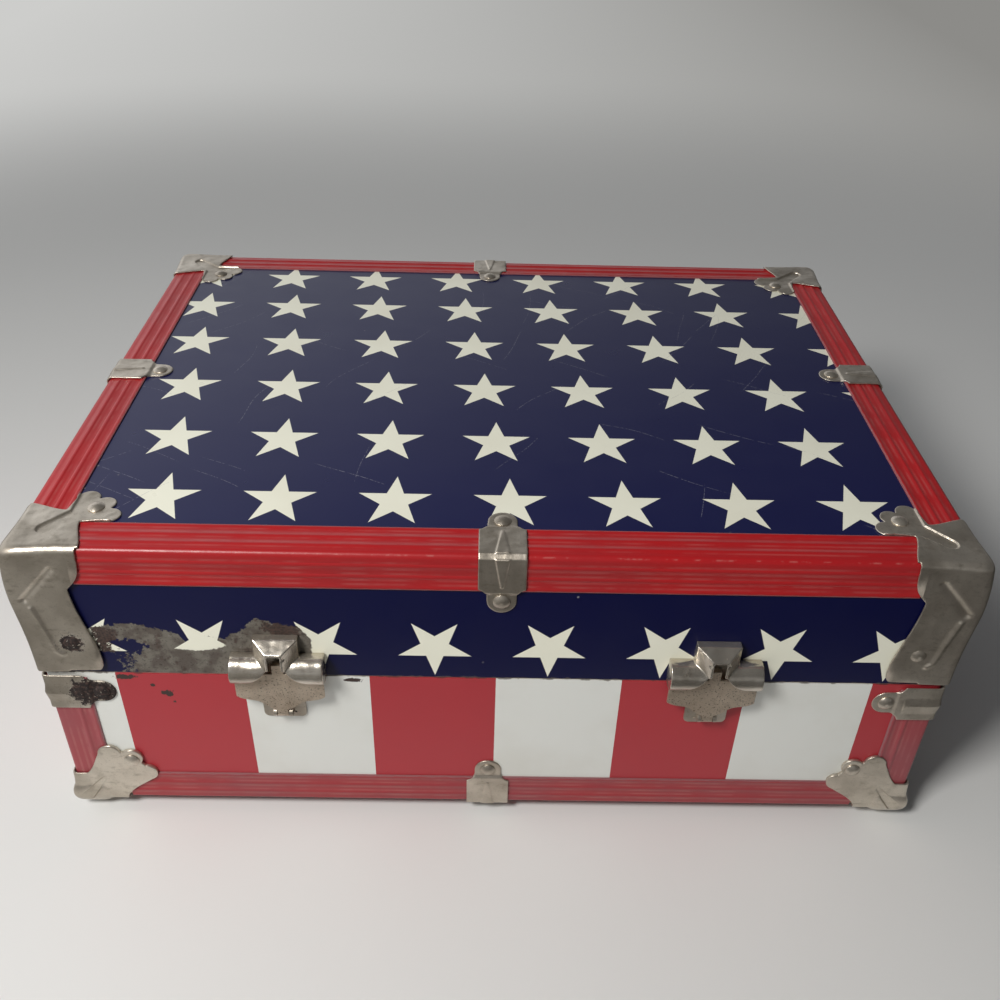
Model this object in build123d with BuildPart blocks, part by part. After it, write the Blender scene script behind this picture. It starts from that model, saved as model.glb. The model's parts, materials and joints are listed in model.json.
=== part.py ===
from build123d import *
import os
from math import atan, degrees

# Small tin-covered trunk: a boarded box and hinged lid under printed tin, edged with
# fluted bindings, with pressed corner caps, edge clamps, two hasps and two end handles.
# Millimetres, +Z up. The origin is on the floor under the middle of the closed trunk;
# the front faces -Y and the lid's hinges are at the back.

os.makedirs("parts", exist_ok=True)

# ---------------------------------------------------------------- driving dimensions
# Overall, over the bindings
trunk_width = 406.4
trunk_depth = 306.6
base_height = 86.1  # underside of the bindings to the parting line
lid_height = 70.8  # parting line to the top of the bindings
foot_drop = 6.2  # toes of the bottom corner caps below the bindings
lid_gap = 0.2  # closed lid over the base rim

# Boards and tin
wall_board = 4.0
lid_wall_board = 3.2
panel_board = 4.0
board_edge = 1.5  # rounding of the boards' long edges
sheet = 0.4
sheet_hem = 0.35  # printed tin stops this far from the parting line
sheet_lap = 2.4  # and this far inside the corner of the box, under a binding
skin_corner = 8.25  # plan radius of the tin at the upright corners

# Rim strip inside the base
rim_wall = 0.5
rim_rise = 5.5  # above the parting line, into the lid
rim_drop = 12.0  # down the inside of the boards

# Fluted bindings
binding_wall = 0.6
binding_leg = 19.2
binding_ridge = 2.5
bead_rise = 0.3
bead_radius = 2.3
bead_first = 5.0  # centre of the first bead from the ridge
bead_pitch = 5.8
bead_count = 3
binding_stop = 24.4  # bindings end this far from the corner, under the caps
upright_stop = 13.0  # upright bindings start this far above the floor panel
upright_gap = 3.3  # and end this far below the parting line

# Pressed corner caps
cap_wall = 0.8
seat_gap = 0.05
cap_ridge = 3.5
lid_cap_hem = 1.9  # foot of a lid cap above the parting line
toe_radius = 12.0
toe_inset = 8.9
toe_flat = 0.3
cap_floor_reach = 26.0
cap_groove = 0.6
cap_riser = 0.7  # step from a raised flange down to its leaf

# Rivets
rivet_radius = 3.7
rivet_height = 1.7
rivet_rim = 0.4
small_rivet_radius = 2.4
small_rivet_height = 1.0

# Edge clamps
clamp_width = 20.4
clamp_bevel = 2.0
clamp_seat_bevel = 1.5
tongue_radius = 6.4
tongue_rivet = 23.6  # rivet from the corner of the tin
tongue_wall = 0.85
clamp_rib = 0.5
clamp_rib_width = 6.4
clamp_rib_length = 15.5
lid_clamp_front = 1.0  # clamps were set by eye, a little off the middle
lid_clamp_back = -6.0
lid_clamp_left = -1.3
lid_clamp_right = 8.1
base_clamp_front = -3.0
base_clamp_side = 0.0
corner_clamp_drop = 1.1  # top of a corner clamp below the parting line
corner_rib_drop = 10.7  # crest of its rib below its top
corner_rib_out = 0.7
corner_rib_rise = 4.2  # slope above the crest
corner_rib_fall = 5.5  # slope below it

# Hasps
hasp_spacing = 193.6
hasp_wall = 0.9
hasp_half_width = 19.8
hasp_pin_drop = 19.6  # below the parting line
hasp_pin_out = 3.5  # from the tin
hasp_pin_radius = 1.1
hasp_knuckle = 2.0
hasp_plate_out = 5.4
hasp_tail_width = 5.0
hasp_rise = 10.9  # top of the hook above the parting line
hasp_hook_gap = 0.6
hasp_turn_gap = 0.25
plate_half_width = 9.7
plate_drop = 25.5  # bottom of the plate below the parting line
plate_gap = 2.1  # top of the plate below the parting line
plate_wall = 1.0
plate_corner = 2.5
plate_slot_width = 5.6
plate_slot_height = 3.0
plate_slot_rise = 1.4  # above the bottom of the plate
plate_curl = 0.5  # radius of the curled tabs beside the slot
plate_curl_width = 2.6
plate_rivet_drop = 8.1
ear_wall = 1.6
ear_radius = 2.2
pin_bore_gap = 0.05

# Catch housing on the lid
catch_half_width = 20.5
catch_foot = 0.4  # heights here are from the parting line
barrel_radius = 7.3
barrel_out = 2.9
barrel_rise = 7.5
hood_half_width = 9.8
hood_rise = 24.9
hood_front_half = 3.6
hood_front_rise = 21.3
hood_step = 3.9
hood_out = 10.1
slot_half = 2.8
slot_rise = 20.1
ledge_wall = 1.0
ledge_half = 3.0
dimple_radius = 1.3
dimple_depth = 0.5
dimple_rise = 18.4

# Back hinges
hinge_spacing = 230.0
hinge_length = 38.0
hinge_leaf = 20.0
hinge_wall = 1.0
hinge_barrel = 2.6
hinge_pin = 1.2
hinge_out = 3.2  # pin axis from the tin
hinge_relief = 1.7
hinge_open = 105.0
hinge_lug = 6.6  # reach of the stop lug below the pin at full opening
hinge_lug_wall = 1.3

# End handles
handle_span = 76.0
handle_drop = 32.0
handle_rod = 2.5
handle_out = 6.5
handle_height = 56.0  # pivot above the underside of the bindings
handle_bend = 8.0
eye_width = 7.0
eye_wall = 1.6
eye_plate_width = 15.0
eye_plate_height = 30.0
eye_plate_wall = 1.0
eye_plate_corner = 4.0
eye_rivet_rise = 11.0  # eye rivets above and below the pivot
handle_play = 3.0  # rod's bends clear of the eyes

# ---------------------------------------------------------------- worked-out sizes
binding_proud = binding_wall + bead_rise
cap_seat = binding_proud + seat_gap
cap_proud = cap_seat + cap_wall
skin_x = trunk_width / 2 - binding_proud
skin_y = trunk_depth / 2 - binding_proud
skin_floor = foot_drop + binding_proud
parting = foot_drop + base_height
skin_top = parting + lid_height - binding_proud
board_x = skin_x - sheet
board_y = skin_y - sheet
board_floor = skin_floor + sheet
board_top = skin_top - sheet
base_rim = parting - lid_gap / 2
base_board_top = base_rim - rim_wall
lid_rim = parting + lid_gap / 2
skin_leg = binding_leg - binding_proud
clamp_out = cap_proud
small_step = 0.15

SIDES = {"front": (0, -1), "back": (0, 1), "left": (-1, 0), "right": (1, 0)}
CORNERS = {"front_left": (1, 1), "front_right": (-1, 1), "back_left": (1, -1), "back_right": (-1, -1)}


def keep(piece, name):
    """Label a finished piece and write its file."""
    piece.part.label = name
    export_step(piece.part, f"parts/{name}.step")


def footprint(inset, mode=Mode.ADD):
    """Plan of the box, inset from the face of the tin, with its round upright corners."""
    RectangleRounded(2 * (skin_x - inset), 2 * (skin_y - inset), skin_corner - inset, mode=mode)


def wall_slab(side, thickness, outer=sheet):
    """Keep only the strip of the plan that belongs to one wall; the ends of the front and
    back walls cover the ends of the side walls."""
    sx, sy = SIDES[side]
    half_x = skin_x - outer
    half_y = skin_y - outer
    if sx == 0:
        with Locations((0, sy * (half_y - thickness / 2))):
            Rectangle(2 * half_x + 1, thickness, mode=Mode.INTERSECT)
    else:
        with Locations((sx * (half_x - thickness / 2), 0)):
            Rectangle(thickness, 2 * (half_y - thickness), mode=Mode.INTERSECT)


# ---------------------------------------------------------------- boards
def make_wall_board(side, thickness, bottom, top):
    with BuildPart() as wall:
        with BuildSketch(Plane.XY.offset(bottom)):
            footprint(sheet)
            wall_slab(side, thickness)
        extrude(amount=top - bottom)
    return wall


for side in SIDES:
    base_wall = make_wall_board(side, wall_board, board_floor + panel_board, base_board_top)
    keep(base_wall, f"base_board_{side}")
    lid_wall = make_wall_board(side, lid_wall_board, lid_rim, board_top - panel_board)
    keep(lid_wall, f"lid_board_{side}")

with BuildPart() as base_board_bottom:
    with BuildSketch(Plane.XY.offset(board_floor)):
        footprint(sheet)
    extrude(amount=panel_board)
    fillet(base_board_bottom.faces().sort_by(Axis.Z)[0].edges(), board_edge)
keep(base_board_bottom, "base_board_bottom")

with BuildPart() as lid_board_top:
    with BuildSketch(Plane.XY.offset(board_top - panel_board)):
        footprint(sheet)
    extrude(amount=panel_board)
    fillet(lid_board_top.faces().sort_by(Axis.Z)[-1].edges(), board_edge)
keep(lid_board_top, "lid_board_top")


# ---------------------------------------------------------------- printed tin
def make_skin(bottom, top):
    """One strip of tin bent round the four walls."""
    with BuildPart() as skin:
        with BuildSketch(Plane.XY.offset(bottom)):
            footprint(0)
            footprint(sheet, mode=Mode.SUBTRACT)
        extrude(amount=top - bottom)
    return skin


def make_panel(bottom):
    """Flat sheet over a panel, its edges under the bindings."""
    with BuildPart() as panel:
        with BuildSketch(Plane.XY.offset(bottom)):
            footprint(sheet_lap)
        extrude(amount=sheet)
    return panel


keep(make_skin(skin_floor + sheet_lap, parting - sheet_hem), "base_skin")
keep(make_skin(parting + sheet_hem, skin_top - sheet_lap), "lid_skin")
keep(make_panel(skin_floor), "base_skin_bottom")
keep(make_panel(board_top), "lid_skin_top")

# ---------------------------------------------------------------- rim strips
for side, (sx, sy) in SIDES.items():
    inner_x = board_x - wall_board
    inner_y = board_y - wall_board
    with BuildPart() as rim:
        with BuildSketch(Plane.XY.offset(base_board_top)):
            footprint(sheet)
            wall_slab(side, wall_board + rim_wall)
        extrude(amount=rim_wall)
        with BuildSketch(Plane.XY.offset(parting - rim_drop)):
            if sx == 0:
                with Locations((0, sy * (inner_y - rim_wall / 2))):
                    Rectangle(2 * inner_x, rim_wall)
            else:
                with Locations((sx * (inner_x - rim_wall / 2), 0)):
                    Rectangle(rim_wall, 2 * (inner_y - rim_wall))
        extrude(amount=rim_drop + rim_rise)
    keep(rim, f"base_rim_{side}")


# ---------------------------------------------------------------- bindings
def profile_plane(corner, inward, up):
    """Plane across a long edge: x runs into the box, y runs out of its top or floor."""
    across = Vector(*inward, 0)
    outward = Vector(0, 0, up)
    return Plane(origin=corner, x_dir=across, z_dir=across.cross(outward))


def bead_places():
    return [bead_first - binding_proud + step * bead_pitch for step in range(bead_count)]


def make_edge_binding(plane, length):
    """Fluted angle over a straight edge: round ridge and three beads on each leg."""
    with BuildPart() as binding:
        with BuildSketch(plane):
            with Locations((-binding_wall, binding_wall)):
                side = skin_leg + binding_wall
                Rectangle(side, side, align=(Align.MIN, Align.MAX))
            ridge = vertices().sort_by(Axis.X)[:2].sort_by(Axis.Y)[-1]
            fillet(ridge, binding_ridge)
            sunk = bead_radius - binding_wall - bead_rise
            with Locations(*[(place, -sunk) for place in bead_places()]):
                Circle(bead_radius)
            with Locations(*[(sunk, -place) for place in bead_places()]):
                Circle(bead_radius)
            core = 3 * binding_leg
            with Locations((core / 2, -core / 2)):
                RectangleRounded(core, core, binding_ridge - binding_wall, mode=Mode.SUBTRACT)
        extrude(amount=length / 2, both=True)
    return binding


def edge_corner(side, level):
    """Corner of the tin over the middle of one long edge."""
    sx, sy = SIDES[side]
    return (sx * skin_x, sy * skin_y, level)


for side, (sx, sy) in SIDES.items():
    run = 2 * (skin_x if sx == 0 else skin_y) - 2 * binding_stop
    lower = profile_plane(edge_corner(side, skin_floor), (-sx, -sy), -1)
    keep(make_edge_binding(lower, run), f"base_binding_{side}")
    upper = profile_plane(edge_corner(side, skin_top), (-sx, -sy), 1)
    keep(make_edge_binding(upper, run), f"lid_binding_{side}")

# Upright binding, front left corner; the others are its mirror images
with BuildPart() as upright:
    with BuildSketch(Plane.XY.offset(skin_floor + upright_stop)):
        footprint(-binding_wall)
        sunk = bead_radius - binding_wall - bead_rise
        for place in bead_places()[1:]:
            with Locations((-skin_x + place, -skin_y + sunk), (-skin_x + sunk, -skin_y + place)):
                Circle(bead_radius)
        footprint(0, mode=Mode.SUBTRACT)
        with Locations((-skin_x - binding_proud, -skin_y - binding_proud)):
            Rectangle(binding_leg, binding_leg, align=(Align.MIN, Align.MIN), mode=Mode.INTERSECT)
    extrude(amount=parting - upright_gap - skin_floor - upright_stop)


def keep_corners(piece, name):
    """Write the front left piece and its three mirror images."""
    for corner, (sx, sy) in CORNERS.items():
        with BuildPart() as placed:
            if (sx, sy) == (1, 1):
                add(piece.part)
            elif (sx, sy) == (-1, 1):
                mirror(piece.part, about=Plane.YZ)
            elif (sx, sy) == (1, -1):
                mirror(piece.part, about=Plane.XZ)
            else:
                mirror(mirror(piece.part, about=Plane.XZ, mode=Mode.PRIVATE), about=Plane.YZ)
        keep(placed, f"{name}_{corner}")


keep_corners(upright, "base_upright")

# ---------------------------------------------------------------- corner planes
# Front left corner of the tin: a runs along +X and b along +Y from it.
corner_top = Plane(origin=(-skin_x, -skin_y, skin_top), x_dir=(1, 0, 0), z_dir=(0, 0, 1))
corner_floor = Plane(origin=(-skin_x, -skin_y, skin_floor), x_dir=(1, 0, 0), z_dir=(0, 0, 1))


def corner_face(level, face):
    """Plane on the front or left face at the corner: x along the face, y up."""
    along = (1, 0, 0) if face == "front" else (0, 1, 0)
    normal = (0, -1, 0) if face == "front" else (1, 0, 0)
    return Plane(origin=(-skin_x, -skin_y, level), x_dir=along, z_dir=normal)


def outward(face):
    """Sign that extrudes a corner_face sketch out of the box."""
    return 1 if face == "front" else -1


def channel_profile(leg):
    """Room under a cap for a binding: its ridge corner follows the cap's own."""
    with BuildSketch() as channel:
        with Locations((-cap_seat, cap_seat)):
            Rectangle(leg + cap_seat, leg + cap_seat, align=(Align.MIN, Align.MAX))
        ridge = vertices().sort_by(Axis.X)[:2].sort_by(Axis.Y)[-1]
        fillet(ridge, cap_ridge - cap_wall)
        Rectangle(2 * leg, 2 * leg, align=(Align.MIN, Align.MAX), mode=Mode.SUBTRACT)
    return channel.sketch_local


block_reach = 46.0
cutter_reach = 120.0
margin = 3 * cap_proud


# ---------------------------------------------------------------- lid corner caps
leaf_lobes = [((23.2, 35.6), 4.9), ((31.4, 31.4), 4.7), ((35.6, 23.2), 4.9)]
leaf_rivet = (28.4, 28.4)
leaf_neck = 19.0
flange_edge = [(29.8, -margin), (28.4, 6.0), (26.4, 11.6), (25.3, 17.0)]
well_near = 12.4
well_near_radius = 3.2
well_far = 21.5
well_far_radius = 4.1
leg_foot = skin_top - parting - lid_cap_hem
leg_corner = 5.0
leg_throat = [(29.8, margin), (28.2, -6.0), (26.6, -13.6), (23.8, -17.6), (21.6, -20.0)]
leg_edge = [(21.6, -20.0), (23.2, -34.0), (25.8, -46.0), (27.7, -55.0), (28.1, leg_corner - leg_foot)]
leg_rivet = (16.6, -50.5)
leg_low_side = [(17.8, -11.0), (5.1, -25.2), (8.0, -41.0), (10.1, -53.0), (13.0, -58.0)]
crease_near_radius = 1.9
crease_far_radius = 1.2
crease_floor = 0.35  # left of the sheet under the crease

with BuildSketch() as lid_flange:
    with BuildLine():
        mirrored_edge = [(b, a) for a, b in reversed(flange_edge)]
        Line((-margin, -margin), flange_edge[0])
        Spline(*flange_edge)
        Polyline(
            flange_edge[-1],
            (leaf_lobes[2][0][0], leaf_neck),
            leaf_lobes[1][0],
            (leaf_neck, leaf_lobes[0][0][1]),
            mirrored_edge[0],
        )
        Spline(*mirrored_edge)
        Line(mirrored_edge[-1], (-margin, -margin))
    make_face()
    for place, radius in leaf_lobes:
        with Locations(place):
            Circle(radius)

# The well is a drop-shaped recess from the corner down to the leaf
with BuildSketch() as lid_flange_low:
    with Locations((well_near, well_near)):
        Circle(well_near_radius)
    with Locations((well_far, well_far)):
        Circle(well_far_radius)
    make_hull()
    with Locations((skin_leg + cap_riser, skin_leg + cap_riser)):
        Rectangle(block_reach, block_reach, align=(Align.MIN, Align.MIN))

with BuildSketch() as lid_leg:
    with BuildLine():
        Line((-margin, margin), leg_throat[0])
        Spline(*leg_throat)
        Spline(*leg_edge)
        leg_toe = (leg_edge[-1][0] - leg_corner, -leg_foot)
        RadiusArc(leg_edge[-1], leg_toe, leg_corner)
        Polyline(leg_toe, (-margin, -leg_foot), (-margin, margin))
    make_face()

with BuildSketch() as lid_leg_low:
    with BuildLine():
        Polyline(
            *leg_low_side,
            (leg_low_side[-1][0], -leg_foot - 1),
            (block_reach, -leg_foot - 1),
            (block_reach, -skin_leg - cap_riser),
            (binding_stop - cap_riser, -skin_leg - cap_riser),
            close=True,
        )
    make_face()

# Crease along the upper edge of the pressed panel
with BuildSketch() as leg_crease:
    with Locations(leg_low_side[0]):
        Circle(crease_near_radius)
    with Locations(leg_low_side[1]):
        Circle(crease_far_radius)
    make_hull()

with BuildPart() as lid_cap:
    # Solid corner with the outside shape of the pressing
    with BuildSketch(Plane.XY.offset(parting + lid_cap_hem)):
        footprint(-cap_proud)
        with Locations((-skin_x - cap_proud, -skin_y - cap_proud)):
            Rectangle(block_reach, block_reach, align=(Align.MIN, Align.MIN), mode=Mode.INTERSECT)
    extrude(amount=skin_top + cap_proud - parting - lid_cap_hem)
    top_edges = lid_cap.faces().sort_by(Axis.Z)[-1].edges()
    fillet(top_edges.sort_by(Axis.X)[:-1].sort_by(Axis.Y)[:-1], cap_ridge)
    # Take out the box
    with BuildSketch(Plane.XY.offset(parting)):
        footprint(0)
    extrude(amount=skin_top - parting, mode=Mode.SUBTRACT)
    # Trim the three flanges to their outlines
    with BuildSketch(corner_top):
        Rectangle(cutter_reach, cutter_reach)
        add(lid_flange.sketch_local, mode=Mode.SUBTRACT)
    extrude(amount=2 * cap_proud, mode=Mode.SUBTRACT)
    for face in ("front", "left"):
        with BuildSketch(corner_face(skin_top, face)):
            Rectangle(2 * cutter_reach, 2 * cutter_reach)
            add(lid_leg.sketch_local, mode=Mode.SUBTRACT)
        extrude(amount=outward(face) * 2 * cap_proud, mode=Mode.SUBTRACT)
    # Press the leaf, its well and the legs down to the tin
    with BuildSketch(corner_top.offset(cap_wall)):
        add(lid_flange_low.sketch_local)
    extrude(amount=2 * cap_proud, mode=Mode.SUBTRACT)
    for face in ("front", "left"):
        with BuildSketch(corner_face(skin_top, face).offset(outward(face) * cap_wall)):
            add(lid_leg_low.sketch_local)
        extrude(amount=outward(face) * 2 * cap_proud, mode=Mode.SUBTRACT)
        with BuildSketch(corner_face(skin_top, face).offset(outward(face) * crease_floor)):
            add(leg_crease.sketch_local)
        extrude(amount=outward(face) * 2 * cap_proud, mode=Mode.SUBTRACT)
    # Room for the bindings that run under the flanges
    for side in ("front", "left"):
        sx, sy = SIDES[side]
        run = block_reach - binding_stop + small_step
        start = (-skin_x + binding_stop - small_step, -skin_y, skin_top)
        if side == "left":
            start = (-skin_x, -skin_y + binding_stop - small_step, skin_top)
        with BuildSketch(profile_plane(start, (-sx, -sy), 1)):
            add(channel_profile(skin_leg + small_step))
        extrude(amount=run if side == "front" else -run, mode=Mode.SUBTRACT)
keep_corners(lid_cap, "lid_cap")

# ---------------------------------------------------------------- bottom corner caps
foot_lobes = [((18.9, 32.3), 5.4), ((29.1, 29.5), 5.3), ((34.9, 19.1), 5.0)]
foot_notches = [(24.6, 33.0), (34.4, 25.0)]
foot_upper = [(5.6, 18.1), (8.1, 21.1), (11.1, 27.0), (13.5, 32.3)]
foot_lower = [(36.6, 14.4), (30.1, 9.6), (25.1, 5.1), (22.6, 1.0)]
foot_rivet = (29.1, 28.1)
foot_seam = 18.1
foot_wrap = 6.0
groove_near = (4.0, 2.5)
groove_near_radius = 2.6
groove_far = (13.0, 14.2)
groove_far_radius = 1.2

with BuildSketch() as foot_leaf:
    with BuildLine():
        Polyline((-margin, -margin), (-margin, foot_seam), foot_upper[0])
        Spline(*foot_upper)
        Polyline(
            foot_upper[-1],
            foot_lobes[0][0],
            foot_notches[0],
            foot_lobes[1][0],
            foot_notches[1],
            foot_lobes[2][0],
            foot_lower[0],
        )
        Spline(*foot_lower)
        Polyline(foot_lower[-1], (foot_lower[-1][0], -margin), (-margin, -margin))
    make_face()
    for place, radius in foot_lobes:
        with Locations(place):
            Circle(radius)

with BuildSketch() as foot_groove:
    with Locations(groove_near):
        Circle(groove_near_radius)
    with Locations(groove_far):
        Circle(groove_far_radius)
    make_hull()

with BuildPart() as base_cap:
    with BuildSketch(Plane.XY.offset(skin_floor - cap_proud)):
        footprint(-cap_proud)
        with Locations((-skin_x - cap_proud, -skin_y - cap_proud)):
            Rectangle(block_reach, block_reach, align=(Align.MIN, Align.MIN), mode=Mode.INTERSECT)
    extrude(amount=block_reach)
    bottom_edges = base_cap.faces().sort_by(Axis.Z)[0].edges()
    fillet(bottom_edges.sort_by(Axis.X)[:-1].sort_by(Axis.Y)[:-1], cap_ridge)
    # Trim each wall to its leaf; near the upright edge the cut reaches round the corner
    for face in ("front", "left"):
        with BuildSketch(corner_face(skin_floor, face).offset(-outward(face) * foot_wrap)):
            with Locations((-cap_proud - 1, 0)):
                Rectangle(cutter_reach, cutter_reach, align=(Align.MIN, Align.MIN))
            add(foot_leaf.sketch_local, mode=Mode.SUBTRACT)
        extrude(amount=outward(face) * (foot_wrap + 2 * cap_proud), mode=Mode.SUBTRACT)
    # Trim the flange under the floor
    with BuildSketch(corner_floor.offset(-2 * cap_proud)):
        Rectangle(cutter_reach, cutter_reach)
        with Locations((-2 * cap_proud, -2 * cap_proud)):
            Rectangle(cap_floor_reach, cap_floor_reach, align=(Align.MIN, Align.MIN), mode=Mode.SUBTRACT)
    extrude(amount=2 * cap_proud + small_step, mode=Mode.SUBTRACT)
    # Ball toe, worn flat underneath
    with Locations((-skin_x + toe_inset, -skin_y + toe_inset, toe_radius - toe_flat)):
        Sphere(toe_radius)
    with Locations((-skin_x, -skin_y, 0)):
        under = (Align.CENTER, Align.CENTER, Align.MAX)
        Box(block_reach, block_reach, toe_radius, align=under, mode=Mode.SUBTRACT)
    # Diagonal grooves pressed into the two walls
    for face in ("front", "left"):
        with BuildSketch(corner_face(skin_floor, face).offset(outward(face) * (cap_proud - cap_groove))):
            add(foot_groove.sketch_local)
        extrude(amount=outward(face) * 3 * cap_proud, mode=Mode.SUBTRACT)
    # Take out the box, then room for the bindings
    with BuildSketch(Plane.XY.offset(skin_floor)):
        footprint(0)
    extrude(amount=block_reach + 1, mode=Mode.SUBTRACT)
    with BuildSketch(Plane.XY.offset(skin_floor + upright_stop - small_step)):
        footprint(-cap_seat)
        with Locations((-skin_x - cap_seat, -skin_y - cap_seat)):
            reach = skin_leg + cap_seat + small_step
            Rectangle(reach, reach, align=(Align.MIN, Align.MIN), mode=Mode.INTERSECT)
    extrude(amount=block_reach, mode=Mode.SUBTRACT)
    for side in ("front", "left"):
        sx, sy = SIDES[side]
        start = (-skin_x + binding_stop - small_step, -skin_y, skin_floor)
        if side == "left":
            start = (-skin_x, -skin_y + binding_stop - small_step, skin_floor)
        with BuildSketch(profile_plane(start, (-sx, -sy), -1)):
            add(channel_profile(skin_leg + small_step))
        extrude(amount=-block_reach if side == "front" else block_reach, mode=Mode.SUBTRACT)
keep_corners(base_cap, "base_cap")

# ---------------------------------------------------------------- edge clamps
clamp_end = tongue_rivet + tongue_radius
clamp_shoulder = 16.7
clamp_neck = 20.8
shoulder_in = 2.6
shoulder_rise = 1.5
clamp_step = tongue_rivet - rivet_radius - seat_gap
clamp_half = clamp_width / 2
clamp_rib_tip = 1.2

# Plan of one leg of a clamp from the edge at y = 0: square shoulders, then a round tongue
with BuildSketch() as tongue_plan:
    with BuildLine():
        Line((0, 0), (clamp_half, 0))
        Line((clamp_half, 0), (clamp_half, clamp_shoulder))
        shoulder = (clamp_half - shoulder_in, clamp_shoulder + shoulder_rise)
        ThreePointArc((clamp_half, clamp_shoulder), shoulder, (tongue_radius, clamp_neck))
        Line((tongue_radius, clamp_neck), (tongue_radius, tongue_rivet))
        RadiusArc((tongue_radius, tongue_rivet), (0, clamp_end), -tongue_radius)
        mirror(about=Plane.YZ)
    make_face()

with BuildSketch() as tongue_waste:
    with Locations((0, clamp_shoulder)):
        Rectangle(2 * clamp_width, clamp_end, align=(Align.CENTER, Align.MIN))
    add(tongue_plan.sketch_local, mode=Mode.SUBTRACT)

with BuildSketch() as clamp_rib_plan:
    with BuildLine():
        wide = clamp_rib_width / 2
        narrow = clamp_rib_tip / 2
        corners = [(-wide, 0), (wide, 0), (narrow, clamp_rib_length), (-narrow, clamp_rib_length)]
        Polyline(*corners, close=True)
    make_face()

# Clamp over an edge that runs along X: the tin's corner is the origin, the box lies
# at +y and -z of it
with BuildPart() as edge_clamp:
    with BuildSketch(Plane.YZ):
        with BuildLine():
            Polyline(
                (clamp_end, 0),
                (skin_leg + small_step, 0),
                (skin_leg + small_step, cap_seat),
                (clamp_seat_bevel - cap_seat, cap_seat),
                (-cap_seat, cap_seat - clamp_seat_bevel),
                (-cap_seat, -skin_leg - small_step),
                (0, -skin_leg - small_step),
                (0, -clamp_end),
                (-tongue_wall, -clamp_end),
                (-tongue_wall, -clamp_step),
                (-clamp_out, -skin_leg - small_step),
                (-clamp_out, clamp_out - clamp_bevel),
                (clamp_bevel - clamp_out, clamp_out),
                (skin_leg + small_step, clamp_out),
                (clamp_step, tongue_wall),
                (clamp_end, tongue_wall),
                close=True,
            )
        make_face()
    extrude(amount=clamp_width / 2, both=True)
    for plane in (Plane.XY, Plane(origin=(0, 0, 0), x_dir=(-1, 0, 0), z_dir=(0, -1, 0))):
        with BuildSketch(plane):
            add(tongue_waste.sketch_local)
        extrude(amount=2 * clamp_out, mode=Mode.SUBTRACT)
        with BuildSketch(plane.offset(clamp_out)):
            add(clamp_rib_plan.sketch_local)
        extrude(amount=clamp_rib, taper=30)


def edge_frame(side, level, up, slide):
    """Frame of a clamp at slide along a long edge: its y runs into the box."""
    sx, sy = SIDES[side]
    x, y, _ = edge_corner(side, level)
    inward = Vector(-sx, -sy, 0)
    x += slide if sx == 0 else 0
    y += slide if sy == 0 else 0
    return Plane(origin=(x, y, level), x_dir=inward.cross(Vector(0, 0, up)), z_dir=(0, 0, up))


lid_clamp_slides = {
    "front": lid_clamp_front,
    "back": lid_clamp_back,
    "left": lid_clamp_left,
    "right": lid_clamp_right,
}
base_clamp_slides = {
    "front": base_clamp_front,
    "back": base_clamp_front,
    "left": base_clamp_side,
    "right": base_clamp_side,
}
lid_clamp_frames = [edge_frame(side, skin_top, 1, slide) for side, slide in lid_clamp_slides.items()]
base_clamp_frames = [edge_frame(side, skin_floor, -1, slide) for side, slide in base_clamp_slides.items()]

for name, frames in (("lid_edge_clamps", lid_clamp_frames), ("base_edge_clamps", base_clamp_frames)):
    with BuildPart() as clamps:
        with Locations(*[frame.location for frame in frames]):
            add(edge_clamp.part)
    keep(clamps, name)

# Clamp round an upright corner, just under the parting line
corner_clamp_top = parting - corner_clamp_drop
corner_clamp_middle = corner_clamp_top - clamp_half
corner_crest = corner_clamp_top - corner_rib_drop
corner_rim = -skin_x - clamp_out, -skin_y - clamp_out
with BuildPart() as corner_clamp:
    with BuildSketch(Plane.XY.offset(corner_clamp_top - clamp_width)):
        with BuildSketch(mode=Mode.PRIVATE) as wrap:
            footprint(-clamp_out)
            footprint(-cap_seat, mode=Mode.SUBTRACT)
            reach = skin_leg + clamp_out + small_step
            with Locations(corner_rim):
                Rectangle(reach, reach, align=(Align.MIN, Align.MIN), mode=Mode.INTERSECT)
        add(wrap.sketch)
        for flip in (False, True):
            with BuildSketch(mode=Mode.PRIVATE) as leg:
                with BuildLine():
                    ramp = [
                        (skin_leg + small_step, 0),
                        (skin_leg + small_step, -clamp_out),
                        (clamp_step, -tongue_wall),
                        (clamp_end, -tongue_wall),
                        (clamp_end, 0),
                    ]
                    if flip:
                        ramp = [(b, a) for a, b in ramp]
                    Polyline(*[(a - skin_x, b - skin_y) for a, b in ramp], close=True)
                make_face()
            add(leg.sketch)
    extrude(amount=clamp_width)
    for face in ("front", "left"):
        level = corner_clamp_middle
        plane = corner_face(level, face)
        turned = Plane(origin=plane.origin, x_dir=-plane.y_dir, z_dir=plane.x_dir.cross(plane.y_dir))
        with BuildSketch(turned):
            add(tongue_waste.sketch_local)
        extrude(amount=outward(face) * 2 * clamp_out, mode=Mode.SUBTRACT)
    # Rib round the corner: steep above its crest, easy below
    with BuildPart(mode=Mode.PRIVATE) as rib:
        for run in (corner_rib_rise, -corner_rib_fall):
            with BuildSketch(Plane.XY.offset(corner_crest)):
                footprint(-clamp_out - corner_rib_out)
            extrude(amount=run, taper=degrees(atan(corner_rib_out / abs(run))))
        with BuildSketch(Plane.XY.offset(corner_clamp_top - clamp_width)):
            footprint(-cap_seat)
        extrude(amount=clamp_width, mode=Mode.SUBTRACT)
        with BuildSketch(Plane.XY.offset(corner_clamp_top - clamp_width)):
            with Locations((-skin_x, -skin_y)):
                Rectangle(2 * clamp_rib_length, 2 * clamp_rib_length)
        extrude(amount=clamp_width, mode=Mode.INTERSECT)
    add(rib.part)
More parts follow.
